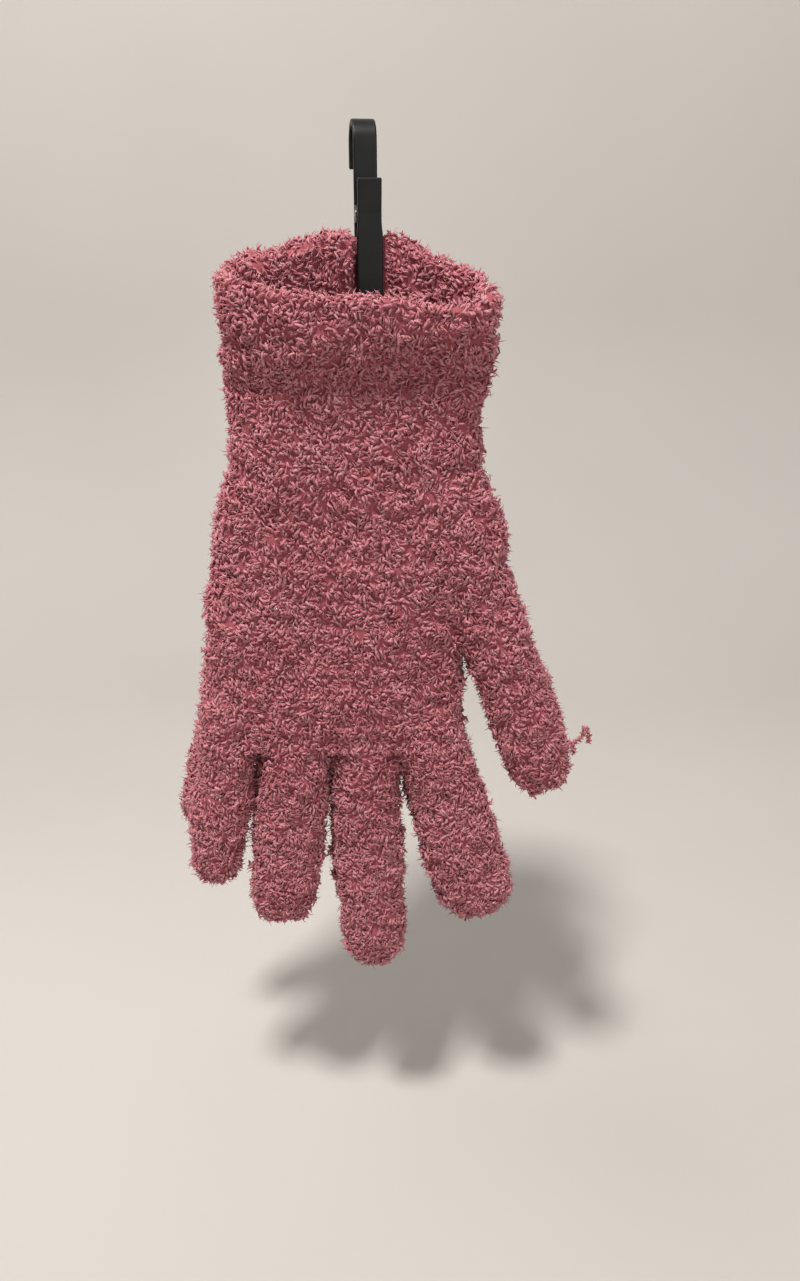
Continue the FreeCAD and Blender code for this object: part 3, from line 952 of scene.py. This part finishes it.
@dataclass
class Cuff:
    """The cuff with its rolled rim, in the glove's own frame, in millimetres.

    rim, top, waist and wrist each hold a level's left, right and front. The back wall lies at back. The
    rim's edge slopes along the hand and away from the clip, and droops at its sides and front. The jaw
    squeezes the wall round the place grip, and no pile stands within jaw_half of it, down to jaw_low.
    """

    rim_top: float = -23.5
    rim_bottom: float = -49.3
    bottom_slope: float = 0.04
    side_slope: float = -0.06
    depth_slope: float = -0.42
    rim: tuple[float, float, float] = (-38.0, 36.2, 30.0)
    top: tuple[float, float, float] = (-37.4, 36.0, 27.8)
    waist: tuple[float, float, float] = (-37.0, 32.6, 22.6)
    wrist: tuple[float, float, float] = (-38.0, 32.2, 22.0)
    waist_z: float = -70.0
    wrist_z: float = -82.0
    rim_wall: float = 5.0
    wall: float = 3.2
    pinched: float = 2.0
    inset: float = 0.2
    back: float = 1.0
    side_droop: float = 5.6
    front_droop: float = 2.0
    rim_rows: int = 15
    round_count: int = 150
    grip: float = 1.8
    jaw_half: float = 3.7
    jaw_low: float = -46.5
    power: float = 2.5
    cell: float = 1.25

    def slab(self, x: Array, q: Array) -> Array:
        """The height of the rim's top edge, as the cloth hangs away from the clip.

        Args:
            x: Places across the hand.
            q: Their distance from the back.

        Returns:
            One height per place.
        """
        behind = np.clip(1 - q / 30, 0, 1)
        droop = self.side_droop * (1 - np.exp(-((np.maximum(np.abs(x) - 8, 0) / 13.0) ** 2)))
        beside = np.exp(-(((np.abs(x) - 8.0) / 4.0) ** 2)) * behind**3
        under_clip = np.exp(-((x / 3.2) ** 2)) * behind**3
        front = self.front_droop + 1.2 * smooth_step(8.0, 24.0, x)
        plane = self.rim_top + self.side_slope * x + self.depth_slope * q
        return plane - droop * behind - front * (1 - behind) + 0.6 * beside - 1.2 * under_clip

    def hem(self, x: Array) -> Array:
        """The height of the rim's lower edge."""
        return self.rim_bottom + self.bottom_slope * x

    def oval(self, left: float, right: float, back: float, front: float, angle: Array) -> Array:
        """Places round the cuff at one level.

        Args:
            left: The level's lowest x.
            right: Its highest x.
            back: Where its back wall lies.
            front: Where its front wall lies.
            angle: The angles of the places.

        Returns:
            Rows of x and q.
        """
        half = (right - left) / 2
        deep = (front - back) / 2
        c, s = np.cos(angle), np.sin(angle)
        x = (left + right) / 2 + np.sign(c) * np.abs(c) ** (2 / self.power) * half
        q = (back + front) / 2 + np.sign(s) * np.abs(s) ** (2 / self.power) * deep
        return np.stack([x, q], axis=1)

    def even_angles(self, count: int) -> Array:
        """Angles that give equal steps round the rim.

        Args:
            count: How many.

        Returns:
            The angles.
        """
        fine = np.linspace(0, 2 * math.pi, 2000)
        spots = self.oval(self.rim[0], self.rim[1], 0.0, self.rim[2], fine)
        run = np.concatenate([[0], np.cumsum(np.linalg.norm(np.diff(spots, axis=0), axis=1))])
        return np.interp(np.linspace(0, run[-1], count, endpoint=False), run, fine)

    def thickness(self, x: Array, q: Array, full: float) -> Array:
        """The wall's thickness, which is squeezed where the clip's jaws hold it.

        Args:
            x: Places across the hand.
            q: Their distance from the back.
            full: The thickness elsewhere.

        Returns:
            One thickness per place.
        """
        off = x - self.grip
        near = np.where(off < 0, 1 - smooth_step(3.0, 6.0, -off), 1 - smooth_step(4.0, 9.5, off)) * (q < 8)
        return full + (self.pinched - full) * near

    def outer_level(self, z: float, angle: Array) -> Array:
        """Places round the outside of the cuff, below its rim.

        Args:
            z: The level.
            angle: The angles of the places.

        Returns:
            Rows of x and q.
        """
        # Each row is a height, the left and right edge, and where the front wall lies.
        rows = [
            (self.wrist_z, *self.wrist),
            (self.waist_z, *self.waist),
            (-63.0, -36.4, 34.0, 22.6),
            (-60.0, -36.6, 34.4, 22.0),
            (-55.0, -37.0, 35.4, 24.8),
            (self.rim_bottom, *self.top),
        ]
        left, right, front = flow_through(rows, np.array([z]))[0]
        return self.oval(left + self.inset, right - self.inset, self.back, front - self.inset, angle)

    def rim_profile(self) -> list[tuple[float, float, float]]:
        """The rim's section: a soft roll on top, which falls back towards its lower edge.

        Returns:
            For each row its step out, its share of the way from the lower edge to the roll, and its
            share of the way through the wall.
        """
        profile = []
        for share in np.linspace(0.0, 1.0, self.rim_rows):
            tuck = -1.7 * (1 - smooth_step(0.0, 0.5, share))
            profile.append((float(tuck), float(share), 0.0))
        for turn in np.linspace(0, math.pi, 8):
            across = (1 - math.cos(turn)) / 2
            profile.append((0.2 * math.cos(turn / 2), 1.0 + 0.5 * math.sin(turn), across))
        for share in np.linspace(0.93, 0.0, self.rim_rows - 2):
            profile.append((0.0, float(share), 1.0))
        return profile

    def rows(self) -> tuple[list[Array], list[str]]:
        """All rows of the cuff's skin, from the wrist up outside, over the rim and down inside.

        Returns:
            The rows and, for each, the piece that it belongs to.
        """
        angle = self.even_angles(self.round_count)
        made: list[Array] = []
        owner: list[str] = []
        bottom = self.wrist_z + 0.4
        knee = self.oval(*self.top[:2], 0.0, self.top[2], angle)
        steps = int((self.rim_bottom - bottom) / self.cell)
        for step in range(steps):
            share = step / steps
            z = bottom + (self.hem(knee[:, 0]) - bottom) * share
            flat = self.outer_level(bottom + (self.rim_bottom - bottom) * share, angle)
            made.append(np.column_stack([flat, z]))
            owner.append("cuff")
        left, right, front = self.rim
        outer = self.oval(left + 0.9, right - 0.8, self.back, front - 0.7, angle)
        inward = self.inward(outer)
        wall = np.maximum(self.thickness(*outer.T, self.rim_wall) - 1.2, 1.2)
        top = self.slab(*outer.T) - 2.0
        hem = self.hem(outer[:, 0])
        for out, share, across in self.rim_profile():
            step_out = out * smooth_step(8.0, 22.0, outer[:, 1])
            flat = outer + inward * (wall * across - step_out)[:, None]
            rise = np.where(share > 1, (share - 1) * 3.4, 0.0)
            made.append(np.column_stack([flat, hem + (top - hem) * min(share, 1.0) + rise]))
            owner.append("rim")
        thin = np.maximum(self.thickness(*outer.T, self.wall) - 0.4, 1.2)
        upper = outer + inward * wall[:, None]
        for step in range(1, steps):
            share = step / steps
            flat = self.outer_level(bottom + (self.rim_bottom - bottom) * (1 - share), angle)
            fade = smooth_step(0.0, 0.35, np.array([share]))[0]
            lower = flat + self.inward(flat) * thin[:, None]
            z = bottom + (hem - bottom) * (1 - share)
            made.append(np.column_stack([upper + (lower - upper) * fade, z]))
            owner.append("lining")
        return made, owner

    @staticmethod
    def inward(flat: Array) -> Array:
        """The way into the cuff from each place round a level."""
        ahead = np.roll(flat, -1, axis=0) - np.roll(flat, 1, axis=0)
        return unit(np.stack([-ahead[:, 1], ahead[:, 0]], axis=1))


def knit_relief(points: Array, normals: Array, rows: Array, seed: int) -> Array:
    """Lifts the ground of the knit with its rows of stitches and the slack of the cloth.

    Args:
        points: Places on the ground.
        normals: Its outward normals.
        rows: The distance down the piece, which counts the rows of stitches.
        seed: Picks the pattern of the slack.

    Returns:
        The moved places.
    """
    slack = 0.55 * soft_waves(points, 21.0, seed) + 0.5 * soft_waves(points, 7.0, seed + 1)
    course = 0.22 * np.sin(2 * math.pi * (rows + 0.5 * soft_waves(points, 14.0, seed + 2)) / COURSE)
    return points + normals * (slack + course)[:, None]


def point_normals(points: Array, quads: Array) -> Array:
    """The normal at each point of a skin.

    Args:
        points: Its points.
        quads: Its faces.

    Returns:
        One row per point.
    """
    _, normal = face_frames(points, quads)
    total = np.zeros_like(points)
    for corner in range(4):
        np.add.at(total, quads[:, corner], normal)
    return unit(total)


@dataclass
class KnittedGlove:
    """One glove: cuff, rim, hand and five digits, each a backing with its pile.

    The splays are what the little finger and the thumb lean further out than the front glove's, in degrees.
    inset is how far the knit's ground lies inside the outline, cell the size of its faces, and density
    the number of tufts to the square millimetre. Pile changes its height from clump to clump, and its way
    from swirl to swirl. crotch and index_crotch are the gaps between the fingers'
    roots, and index_tuck is how far the index finger's root then slips back into the gap. little_edge and
    index_edge are how far the palm's end keeps inside those fingers' outer edges, and tuck is how far the
    hand's ground draws in where it runs up inside the cuff. wrist_fold holds two heights at the wrist, and
    seam_fold how far before and after a digit's seam; points there are worked out but not used.
    """

    name: str
    place: Hanging
    yarn: bpy.types.Material
    seed: int
    little_splay: float = 0.0
    thumb_splay: float = 0.0
    inset: float = 0.4
    cell: float = 1.22
    density: float = 0.98
    clump: float = 4.5
    swirl: float = 5.5
    little_lean: float = 9.0
    crotch: float = 1.6
    index_crotch: float = 2.4
    index_tuck: float = 1.4
    little_edge: float = 0.6
    index_edge: float = 1.8
    tuck: float = 0.9
    wrist_fold: tuple[float, float] = (-76.0, -92.0)
    seam_fold: tuple[float, float] = (6.0, 8.0)
    cuff: Cuff = field(default_factory=Cuff)

    def chance(self, piece: int) -> np.random.Generator:
        """The source of chance of one piece, by its number, so that no piece's pile depends on another's."""
        return np.random.default_rng(self.seed * 10 + piece)

    def digits(self) -> list[Digit]:
        """The five digits, with the fingers side by side from the middle one.

        Returns:
            The little, ring, middle and index finger and the thumb.
        """
        little = Digit(
            "little_finger", seam=173.9, lean=-self.little_lean - self.little_splay, length=50.5,
            base=18.0, belly=18.4, tip=16.4, thick=15.0, thin=12.5, dome=10.0,
        )
        ring_finger = Digit(
            "ring_finger", seam=178.6, lean=-6.5, length=61.5,
            base=21.8, belly=22.6, tip=21.0, thick=16.0, thin=13.5, dome=11.5,
        )
        middle = Digit(
            "middle_finger", seam=181.0, lean=1.2, length=78.8,
            base=20.6, belly=21.2, tip=21.4, thick=16.4, thin=13.5, dome=17.0, place=-0.7, blunt=2.0,
        )
        index = Digit(
            "index_finger", seam=178.2, lean=15.8, length=61.5,
            base=22.6, belly=25.2, tip=25.8, thick=16.0, thin=14.0, dome=13.0,
        )
        thumb = Digit(
            "thumb", seam=139.2, lean=20.0 + self.thumb_splay, length=52.3, base=20.4, belly=20.8, tip=19.2,
            thick=16.4, thin=14.0, dome=11.0, place=40.3, root=54.0, root_width=22.5,
        )
        # The little finger's root takes the same room however far its tip is splayed.
        leans = (self.little_lean, ring_finger.lean, middle.lean, index.lean)
        fingers = (little, ring_finger, middle, index)
        half = [f.base * math.cos(math.radians(lean)) / 2 for f, lean in zip(fingers, leans)]
        ring_x = middle.place - half[2] - self.crotch - half[1]
        little_x = ring_x - half[1] - self.crotch - half[0]
        index_x = middle.place + half[2] + self.index_crotch + half[3] - self.index_tuck
        return [
            replace(little, place=little_x),
            replace(ring_finger, place=ring_x),
            middle,
            replace(index, place=index_x),
            thumb,
        ]

    def palm_rings(self, digits: list[Digit]) -> list[Array]:
        """Sections of the palm from under the cuff to the fingers' roots.

        Args:
            digits: The five digits.

        Returns:
            The rings, from the wrist down.
        """
        little, index = digits[0], digits[3]
        left = little.place - little.base / 2 + self.little_edge
        right = index.place + index.base / 2 - self.index_edge
        # Each row is a height, the left and right edge, and where the back and the palm lie.
        stations = [
            (-171.5, left, right, 2.8, 21.3),
            (-140.0, -49.2, 28.8, 1.4, 21.6),
            (-118.0, -46.6, 39.6, 1.0, 21.8),
            (-109.0, -45.1, 41.8, 0.9, 21.8),
            (-100.0, -43.6, 40.0, 0.8, 21.8),
            (-82.0, -38.0, 32.6, 0.8, 22.2),
            (-70.0, -37.0, 32.2, 0.8, 22.0),
        ]
        levels = np.linspace(-70.0, -171.5, 40)
        across = np.array([1.0, 0.0, 0.0])
        made = []
        for z, (low, high, back, front) in zip(levels, flow_through(stations, levels)):
            centre = np.array([(low + high) / 2, (back + front) / 2, z])
            half = ((high - low) / 2 - self.inset, (front - back) / 2 - self.inset)
            made.append(ring(centre, across, *half, power=2.7))
        return made

    def skin(self, digits: list[Digit]) -> tuple[Array, Array]:
        """The ground of hand and digits in one skin.

        Args:
            digits: The five digits.

        Returns:
            Its points and faces.
        """
        tubes = [self.palm_rings(digits)]
        for digit in digits:
            sections = digit.sections(self.inset)
            tubes.append([ring(c, digit.across, w, d, power=2.25) for c, w, d in sections])
        return merged_skin(tubes, self.cell, rounds=5)

    def owners(self, middle: Array, digits: list[Digit]) -> Array:
        """Shares the skin's faces out over the digits and the hand.

        Args:
            middle: The faces' middles.
            digits: The five digits.

        Returns:
            For each face its digit's number, or -1 for the hand.
        """
        best = np.full(len(middle), np.inf)
        owner = np.full(len(middle), -1)
        for number, digit in enumerate(digits):
            s, off = digit.measure(middle)
            share = np.abs(off) / (digit.belly / 2)
            mine = (s > 0) & (share < best) & (share < 1.35)
            best[mine] = share[mine]
            owner[mine] = number
        return owner

    def cover(self, knit: KnitMesh, cloth: Patch, rng: np.random.Generator, wisps: float) -> None:
        """Covers a patch with curled pile and some loose ends.

        Args:
            knit: The piece that gets the pile.
            cloth: Where it grows.
            rng: The source of all chance.
            wisps: The share of places with a loose end as well.
        """
        knit.add_pile(CURLS, cloth, rng)
        knit.add_pile(WISPS, cloth.picked(rng.random(len(cloth.spots)) < wisps), rng)

    def jittered(self, points: Array, quads: Array, faces: Array, rng: np.random.Generator) -> Patch:
        """Places at random in the chosen faces, as many to the area everywhere.

        Pile is taller and lower, and lies this way and that, in soft clumps. It is half as high where the
        two gloves' backs lie against each other.

        Args:
            points: The skin's points.
            quads: Its faces.
            faces: Which of them to cover.
            rng: The source of all chance.

        Returns:
            The places.
        """
        chosen = quads[faces]
        corners = points[chosen]
        ahead, aside = corners[:, 2] - corners[:, 0], corners[:, 3] - corners[:, 1]
        area = np.linalg.norm(np.cross(ahead, aside), axis=1) / 2
        count = np.floor(area * self.density + rng.random(len(area))).astype(int)
        corners = np.repeat(corners, count, axis=0)
        u, v = rng.random((2, len(corners), 1))
        spots = (
            corners[:, 0] * (1 - u) * (1 - v)
            + corners[:, 1] * u * (1 - v)
            + corners[:, 2] * u * v
            + corners[:, 3] * (1 - u) * v
        )
        _, normals = face_frames(points, chosen)
        normals = np.repeat(normals, count, axis=0)
        downs = np.tile([0.0, 0.0, -1.0], (len(spots), 1))
        height = 1 + 0.14 * soft_waves(spots, self.clump, self.seed + 50)
        touching = smooth_step(0.5, 0.9, -normals[:, 1]) * (spots[:, 1] < 3.5)
        height *= 1 - 0.5 * touching
        combs = [soft_waves(spots, self.swirl, self.seed + 60 + axis) for axis in range(3)]
        return Patch(spots, normals, downs, height, 1.1 * np.stack(combs, axis=1))

    def knit_hand_and_digits(self) -> None:
        """Builds the hand and the five digits."""
        digits = self.digits()
        points, quads = self.skin(digits)
        middle, _ = face_frames(points, quads)
        owner = self.owners(middle, digits)
        along = -points[:, 2].copy()
        for number, digit in enumerate(digits):
            mine = np.unique(quads[owner == number])
            along[mine] = digit.seam + digit.measure(points[mine])[0]
        points = knit_relief(points, point_normals(points, quads), along, self.seed)
        middle, normal = face_frames(points, quads)
        self.knit_hand(points, quads, middle, normal, owner)
        for number, digit in enumerate(digits):
            self.knit_digit(digit, points, quads, middle, owner, number)

    def knit_hand(self, points: Array, quads: Array, middle: Array, normal: Array, owner: Array) -> None:
        """Builds the hand in two pieces, its palm and its back.

        Args:
            points: The skin's points.
            quads: Its faces.
            middle: The faces' middles.
            normal: The faces' normals.
            owner: The digit that each face belongs to, or -1.
        """
        hand = owner < 0
        palm = normal[:, 1] >= 0
        below = middle[:, 2] < self.cuff.wrist_z + 0.3
        tucked = (middle[:, 2] < self.cuff.wrist_z + 11) & ~below & hand
        centre = np.array([-2.9, 11.0])
        for label, half, piece in (("palm", hand & palm, 5), ("back", hand & ~palm, 3)):
            rng = self.chance(piece)
            knit = KnitMesh(f"{self.name}_hand_{label}_pile")
            shell, sides = only_faces(points, quads, half & (below | tucked))
            high = shell[:, 2] > self.cuff.wrist_z
            shell[high, :2] += unit(centre - shell[:, :2])[high] * self.tuck
            knit.add_backing(shell, sides)
            self.cover(knit, self.jittered(points, quads, half & below, rng), rng, wisps=0.35)
            thing = knit.build(self.place, self.yarn)
            ends = [self.place.hang(np.array([[0.0, 11.0, z]]))[0] for z in self.wrist_fold]
            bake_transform(thing)
            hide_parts(f"{self.name}_hand")

    def knit_digit(
        self, digit: Digit, points: Array, quads: Array, middle: Array, owner: Array, number: int
    ) -> None:
        """Builds one digit, with a tongue of ground that reaches under the hand's edge.

        Args:
            digit: The digit.
            points: The skin's points.
            quads: Its faces.
            middle: The faces' middles.
            owner: The digit that each face belongs to, or -1.
            number: The digit's own number.
        """
        rng = self.chance(20 + number)
        s, off = digit.measure(middle)
        tongue = (s <= 0) & (s > -8) & (np.abs(off) < digit.base / 2 + 1.0)
        own = owner == number
        knit = KnitMesh(f"{self.name}_{digit.name}_pile")
        knit.add_backing(*only_faces(points, quads, own))
        shell, sides = only_faces(points, quads, tongue)
        towards = digit.seam_centre - shell
        towards -= np.outer(towards @ digit.along, digit.along)
        knit.add_backing(shell + unit(towards) * 0.8, sides)
        cloth = self.jittered(points, quads, own, rng)
        cloth.downs[:] = digit.along
        self.cover(knit, cloth, rng, wisps=0.5)
        thing = knit.build(self.place, self.yarn)
        before, after = self.seam_fold
        start = digit.seam_centre - digit.along * before
        end = digit.seam_centre + digit.along * after
        ends = self.place.hang(np.stack([start, end]))
        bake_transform(thing)
        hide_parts(f"{self.name}_{digit.name}")

    def knit_cuff(self) -> None:
        """Builds the cuff and its rim, both with their inside."""
        made, owner = self.cuff.rows()
        count = len(made[0])
        points = np.concatenate(made)
        index = np.arange(count)
        quads = []
        belongs = []
        for row in range(len(made) - 1):
            near, far = row * count + index, row * count + (index + 1) % count
            quads.append(np.stack([near, far, far + count, near + count], axis=1))
            belongs += [owner[row]] * count
        quads = np.concatenate(quads)
        belongs = np.array(belongs)
        points = knit_relief(points, point_normals(points, quads) * 0.8, -points[:, 2], self.seed + 7)
        middle, _ = face_frames(points, quads)
        for label, parts, piece in (("cuff", ("cuff", "lining"), 44), ("cuff_rim", ("rim",), 48)):
            rng = self.chance(piece)
            knit = KnitMesh(f"{self.name}_{label}_pile")
            mine = np.isin(belongs, parts)
            knit.add_backing(*only_faces(points, quads, mine))
            # Deep inside the cuff hardly any pile shows, so most of it is left out there.
            deep = (belongs == "lining") & (middle[:, 2] < -62)
            bare = deep & (rng.random(len(quads)) < 0.6)
            cloth = self.jittered(points, quads, mine & ~bare, rng)
            cloth = cloth.picked(~self.clamped(cloth))
            short, away = self.parted(cloth.spots)
            cloth.height *= short
            cloth.combs += away
            self.cover(knit, cloth, rng, wisps=0.4)
            thing = knit.build(self.place, self.yarn)
            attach(thing, f"{self.name}_cuff")
            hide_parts(f"{self.name}_{label}")

    def clamped(self, cloth: Patch) -> Array:
        """Finds the places under the clip's jaw, where no pile can stand.

        Args:
            cloth: Places on the cuff.

        Returns:
            True for each place under the jaw.
        """
        x, q, z = cloth.spots.T
        beside = np.abs(x - self.cuff.grip) < self.cuff.jaw_half
        return beside & (q > 1.0) & (q < 7) & (z > self.cuff.jaw_low)

    def parted(self, spots: Array) -> tuple[Array, Array]:
        """Makes the pile short and combs it away beside the clip.

        Args:
            spots: Places on the cuff.

        Returns:
            The share of its height that the pile keeps, and which way it is combed.
        """
        x, q, z = spots.T
        off = x - self.cuff.grip
        near = (1 - smooth_step(self.cuff.jaw_half, 7.0, np.abs(off))) * (q < 8) * (z > -50)
        combs = np.zeros_like(spots)
        combs[:, 0] = np.sign(off) * 2.4 * near
        return 1 - 0.4 * near, combs

    def build(self) -> None:
        """Builds the whole glove."""
        self.knit_cuff()
        self.knit_hand_and_digits()


@dataclass
class YarnTail:
    """The loose, frizzy end of yarn at the front thumb's tip, in the glove's own frame."""

    place: Hanging
    yarn: bpy.types.Material
    base: tuple[float, float, float] = (62.9, 14.0, -173.2)
    run: tuple[tuple[float, float], ...] = (
        (-1.5, -1.0), (2.3, 0.9), (4.9, 3.2), (5.8, 6.5), (7.1, 4.7), (7.4, 1.4),
    )
    stray: tuple[tuple[float, float], ...] = ((2.0, 0.8), (2.6, -0.9), (2.9, -2.4))
    core: float = 0.42
    step: float = 0.3
    seed: int = 91

    def thread(self, run: tuple[tuple[float, float], ...]) -> Array:
        """Runs one end of the thread through its corners.

        Args:
            run: The corners, each so far across and up from the base.

        Returns:
            Places along it, a step apart.
        """
        corners = np.array([(across, 0.0, up) for across, up in run]) + np.array(self.base)
        table = [(float(i), *corner) for i, corner in enumerate(corners)]
        steps = int(np.linalg.norm(np.diff(corners, axis=0), axis=1).sum() / self.step)
        return flow_through(table, np.linspace(0, len(corners) - 1, steps))

    def build(self) -> None:
        """Builds the thread's core and its frizz."""
        rng = np.random.default_rng(self.seed)
        knit = KnitMesh("front_thumb_yarn_tail_pile")
        for run in (self.run, self.stray):
            path = self.thread(run)
            rings = [ring(c, np.array([1.0, 0.0, 0.0]), self.core, self.core, 2.0)[::4] for c in path]
            points, faces = closed_tube(rings, 0)
            sides = np.array([face for face in faces if len(face) == 4])
            knit.add_backing(points, sides)
            spots = np.repeat(path, 4, axis=0)
            normals = unit(rng.normal(size=spots.shape))
            ones = np.ones(len(spots))
            downs = np.tile([0.01, 0.02, -1.0], (len(spots), 1))
            knit.add_pile(FRIZZ, Patch(spots, normals, downs, ones, np.zeros_like(spots)), rng)
        thing = knit.build(self.place, self.yarn)
        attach(thing, "front_thumb")
        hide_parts("front_thumb_yarn_tail")


def dress(node: str, material: bpy.types.Material) -> None:
    """Gives a solid of the frame its finish.

    Args:
        node: The node's name.
        material: Its material.
    """
    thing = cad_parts[node]
    thing.data.materials.clear()
    thing.data.materials.append(material)
    LOG.info("dressed %s with %s", node, material.name)


@dataclass
class HangingClip:
    """The squeeze clip with its rail hook, on the solids of the frame."""

    plastic: bpy.types.Material
    steel: bpy.types.Material

    def build(self) -> None:
        """Dresses all the clip's nodes."""
        for node in ("clip_strap", "clip_lever"):
            dress(node, self.plastic)
        for node in ("clip_pivot_pin", "clip_spring"):
            dress(node, self.steel)


@dataclass
class Studio:
    """Floor, backdrop, lamps, world and camera, in metres, degrees and watts.

    The wall stands far enough back that a camera behind the gloves still stands in front of it.
    """

    floor_z: float = -0.34
    wall_y: float = 0.62
    bend: float = 0.26
    near_y: float = -1.6
    top_z: float = 1.6
    half_width: float = 2.0
    paper: str = "C8C4BF"
    cloud: str = "C2BEB9"
    sky: str = "F0ECEA"
    sky_strength: float = 0.33
    aim: tuple[float, float, float] = (0.0, -0.02, -0.13)
    camera_spot: tuple[float, float, float] = (0.0102, -0.293, -0.0238)
    camera_pitch: float = 22.7
    lens: float = 27.0

    def sweep(self) -> None:
        """A paper sweep: floor and wall in one curved sheet."""
        start = self.wall_y - self.bend
        profile = [(self.near_y, self.floor_z), (start, self.floor_z)]
        for turn in np.linspace(0, math.pi / 2, 13)[1:]:
            ahead, up = self.bend * math.sin(turn), self.bend * (1 - math.cos(turn))
            profile.append((start + ahead, self.floor_z + up))
        profile.append((self.wall_y, self.top_z))
        points = [(x, y, z) for y, z in profile for x in (-self.half_width, self.half_width)]
        faces = [(2 * i, 2 * i + 1, 2 * i + 3, 2 * i + 2) for i in range(len(profile) - 1)]
        mesh = bpy.data.meshes.new("paper_sweep")
        mesh.from_pydata(points, [], faces)
        mesh.polygons.foreach_set("use_smooth", [True] * len(mesh.polygons))
        mesh.materials.append(MattPaper("matt_backdrop_paper", self.paper, self.cloud).material())
        thing = bpy.data.objects.new("paper_sweep", mesh)
        bpy.context.collection.objects.link(thing)

    def lamp(
        self, name: str, spot: tuple[float, float, float], size: float, power: float, warmth: str
    ) -> None:
        """A square soft lamp that points at the gloves.

        Args:
            name: The lamp's name.
            spot: Its place.
            size: The length of its side.
            power: Its power in watts.
            warmth: Its colour.
        """
        data = bpy.data.lights.new(name, "AREA")
        data.size = size
        data.energy = power
        data.color = linear(warmth)[:3]
        thing = bpy.data.objects.new(name, data)
        bpy.context.collection.objects.link(thing)
        thing.location = spot
        thing.rotation_euler = (Vector(self.aim) - Vector(spot)).to_track_quat("-Z", "Y").to_euler()

    def light(self) -> None:
        """A soft key lamp high in front, and a weak fill from the front and from behind."""
        self.lamp("key_lamp", (-0.22, -0.44, 0.98), 0.16, 16.5, "FFFBF7")
        self.lamp("fill_lamp", (0.7, -0.9, 0.15), 0.9, 3.4, "FFFDFB")
        self.lamp("back_lamp", (-0.6, 0.10, 0.5), 0.5, 1.8, "FFFDFB")
        world = bpy.data.worlds.new("studio_world")
        world.use_nodes = True
        background = world.node_tree.nodes["Background"]
        background.inputs["Color"].default_value = linear(self.sky)
        background.inputs["Strength"].default_value = self.sky_strength
        bpy.context.scene.world = world

    def camera(self) -> None:
        """The camera, where the photograph was taken from."""
        data = bpy.data.cameras.new("camera")
        data.lens = self.lens
        data.clip_start = 0.01
        thing = bpy.data.objects.new("camera", data)
        thing.location = self.camera_spot
        thing.rotation_euler = (math.radians(90 - self.camera_pitch), 0.0, 0.0)
        bpy.context.collection.objects.link(thing)
        bpy.context.scene.camera = thing

    def build(self) -> None:
        """Sets up the studio."""
        self.sweep()
        self.light()
        self.camera()
        bpy.context.scene.view_settings.view_transform = "Standard"


def main() -> None:
    """Builds everything in order."""
    logging.basicConfig(level=logging.INFO, format="%(name)s: %(message)s")
    yarn = ChenilleYarn().material()
    elastic = CoveredElastic().material()
    HangingClip(MouldedPlastic().material(), DrawnSteel().material()).build()
    front = Hanging(Side.FRONT, lean=0.0, lift=0.0)
    back = Hanging(Side.BACK, lean=1.2, lift=1.0)
    gloves = (
        KnittedGlove("front", front, yarn, seed=11),
        KnittedGlove(
            "back", back, yarn, seed=23, little_splay=8.0, thumb_splay=4.5, cuff=Cuff(grip=1.0)
        ),
    )
    for glove in gloves:
        glove.build()
        dress(f"{glove.name}_cuff_elastic", elastic)
    YarnTail(front, yarn).build()
    Studio().build()


if __name__ == "__main__":
    main()
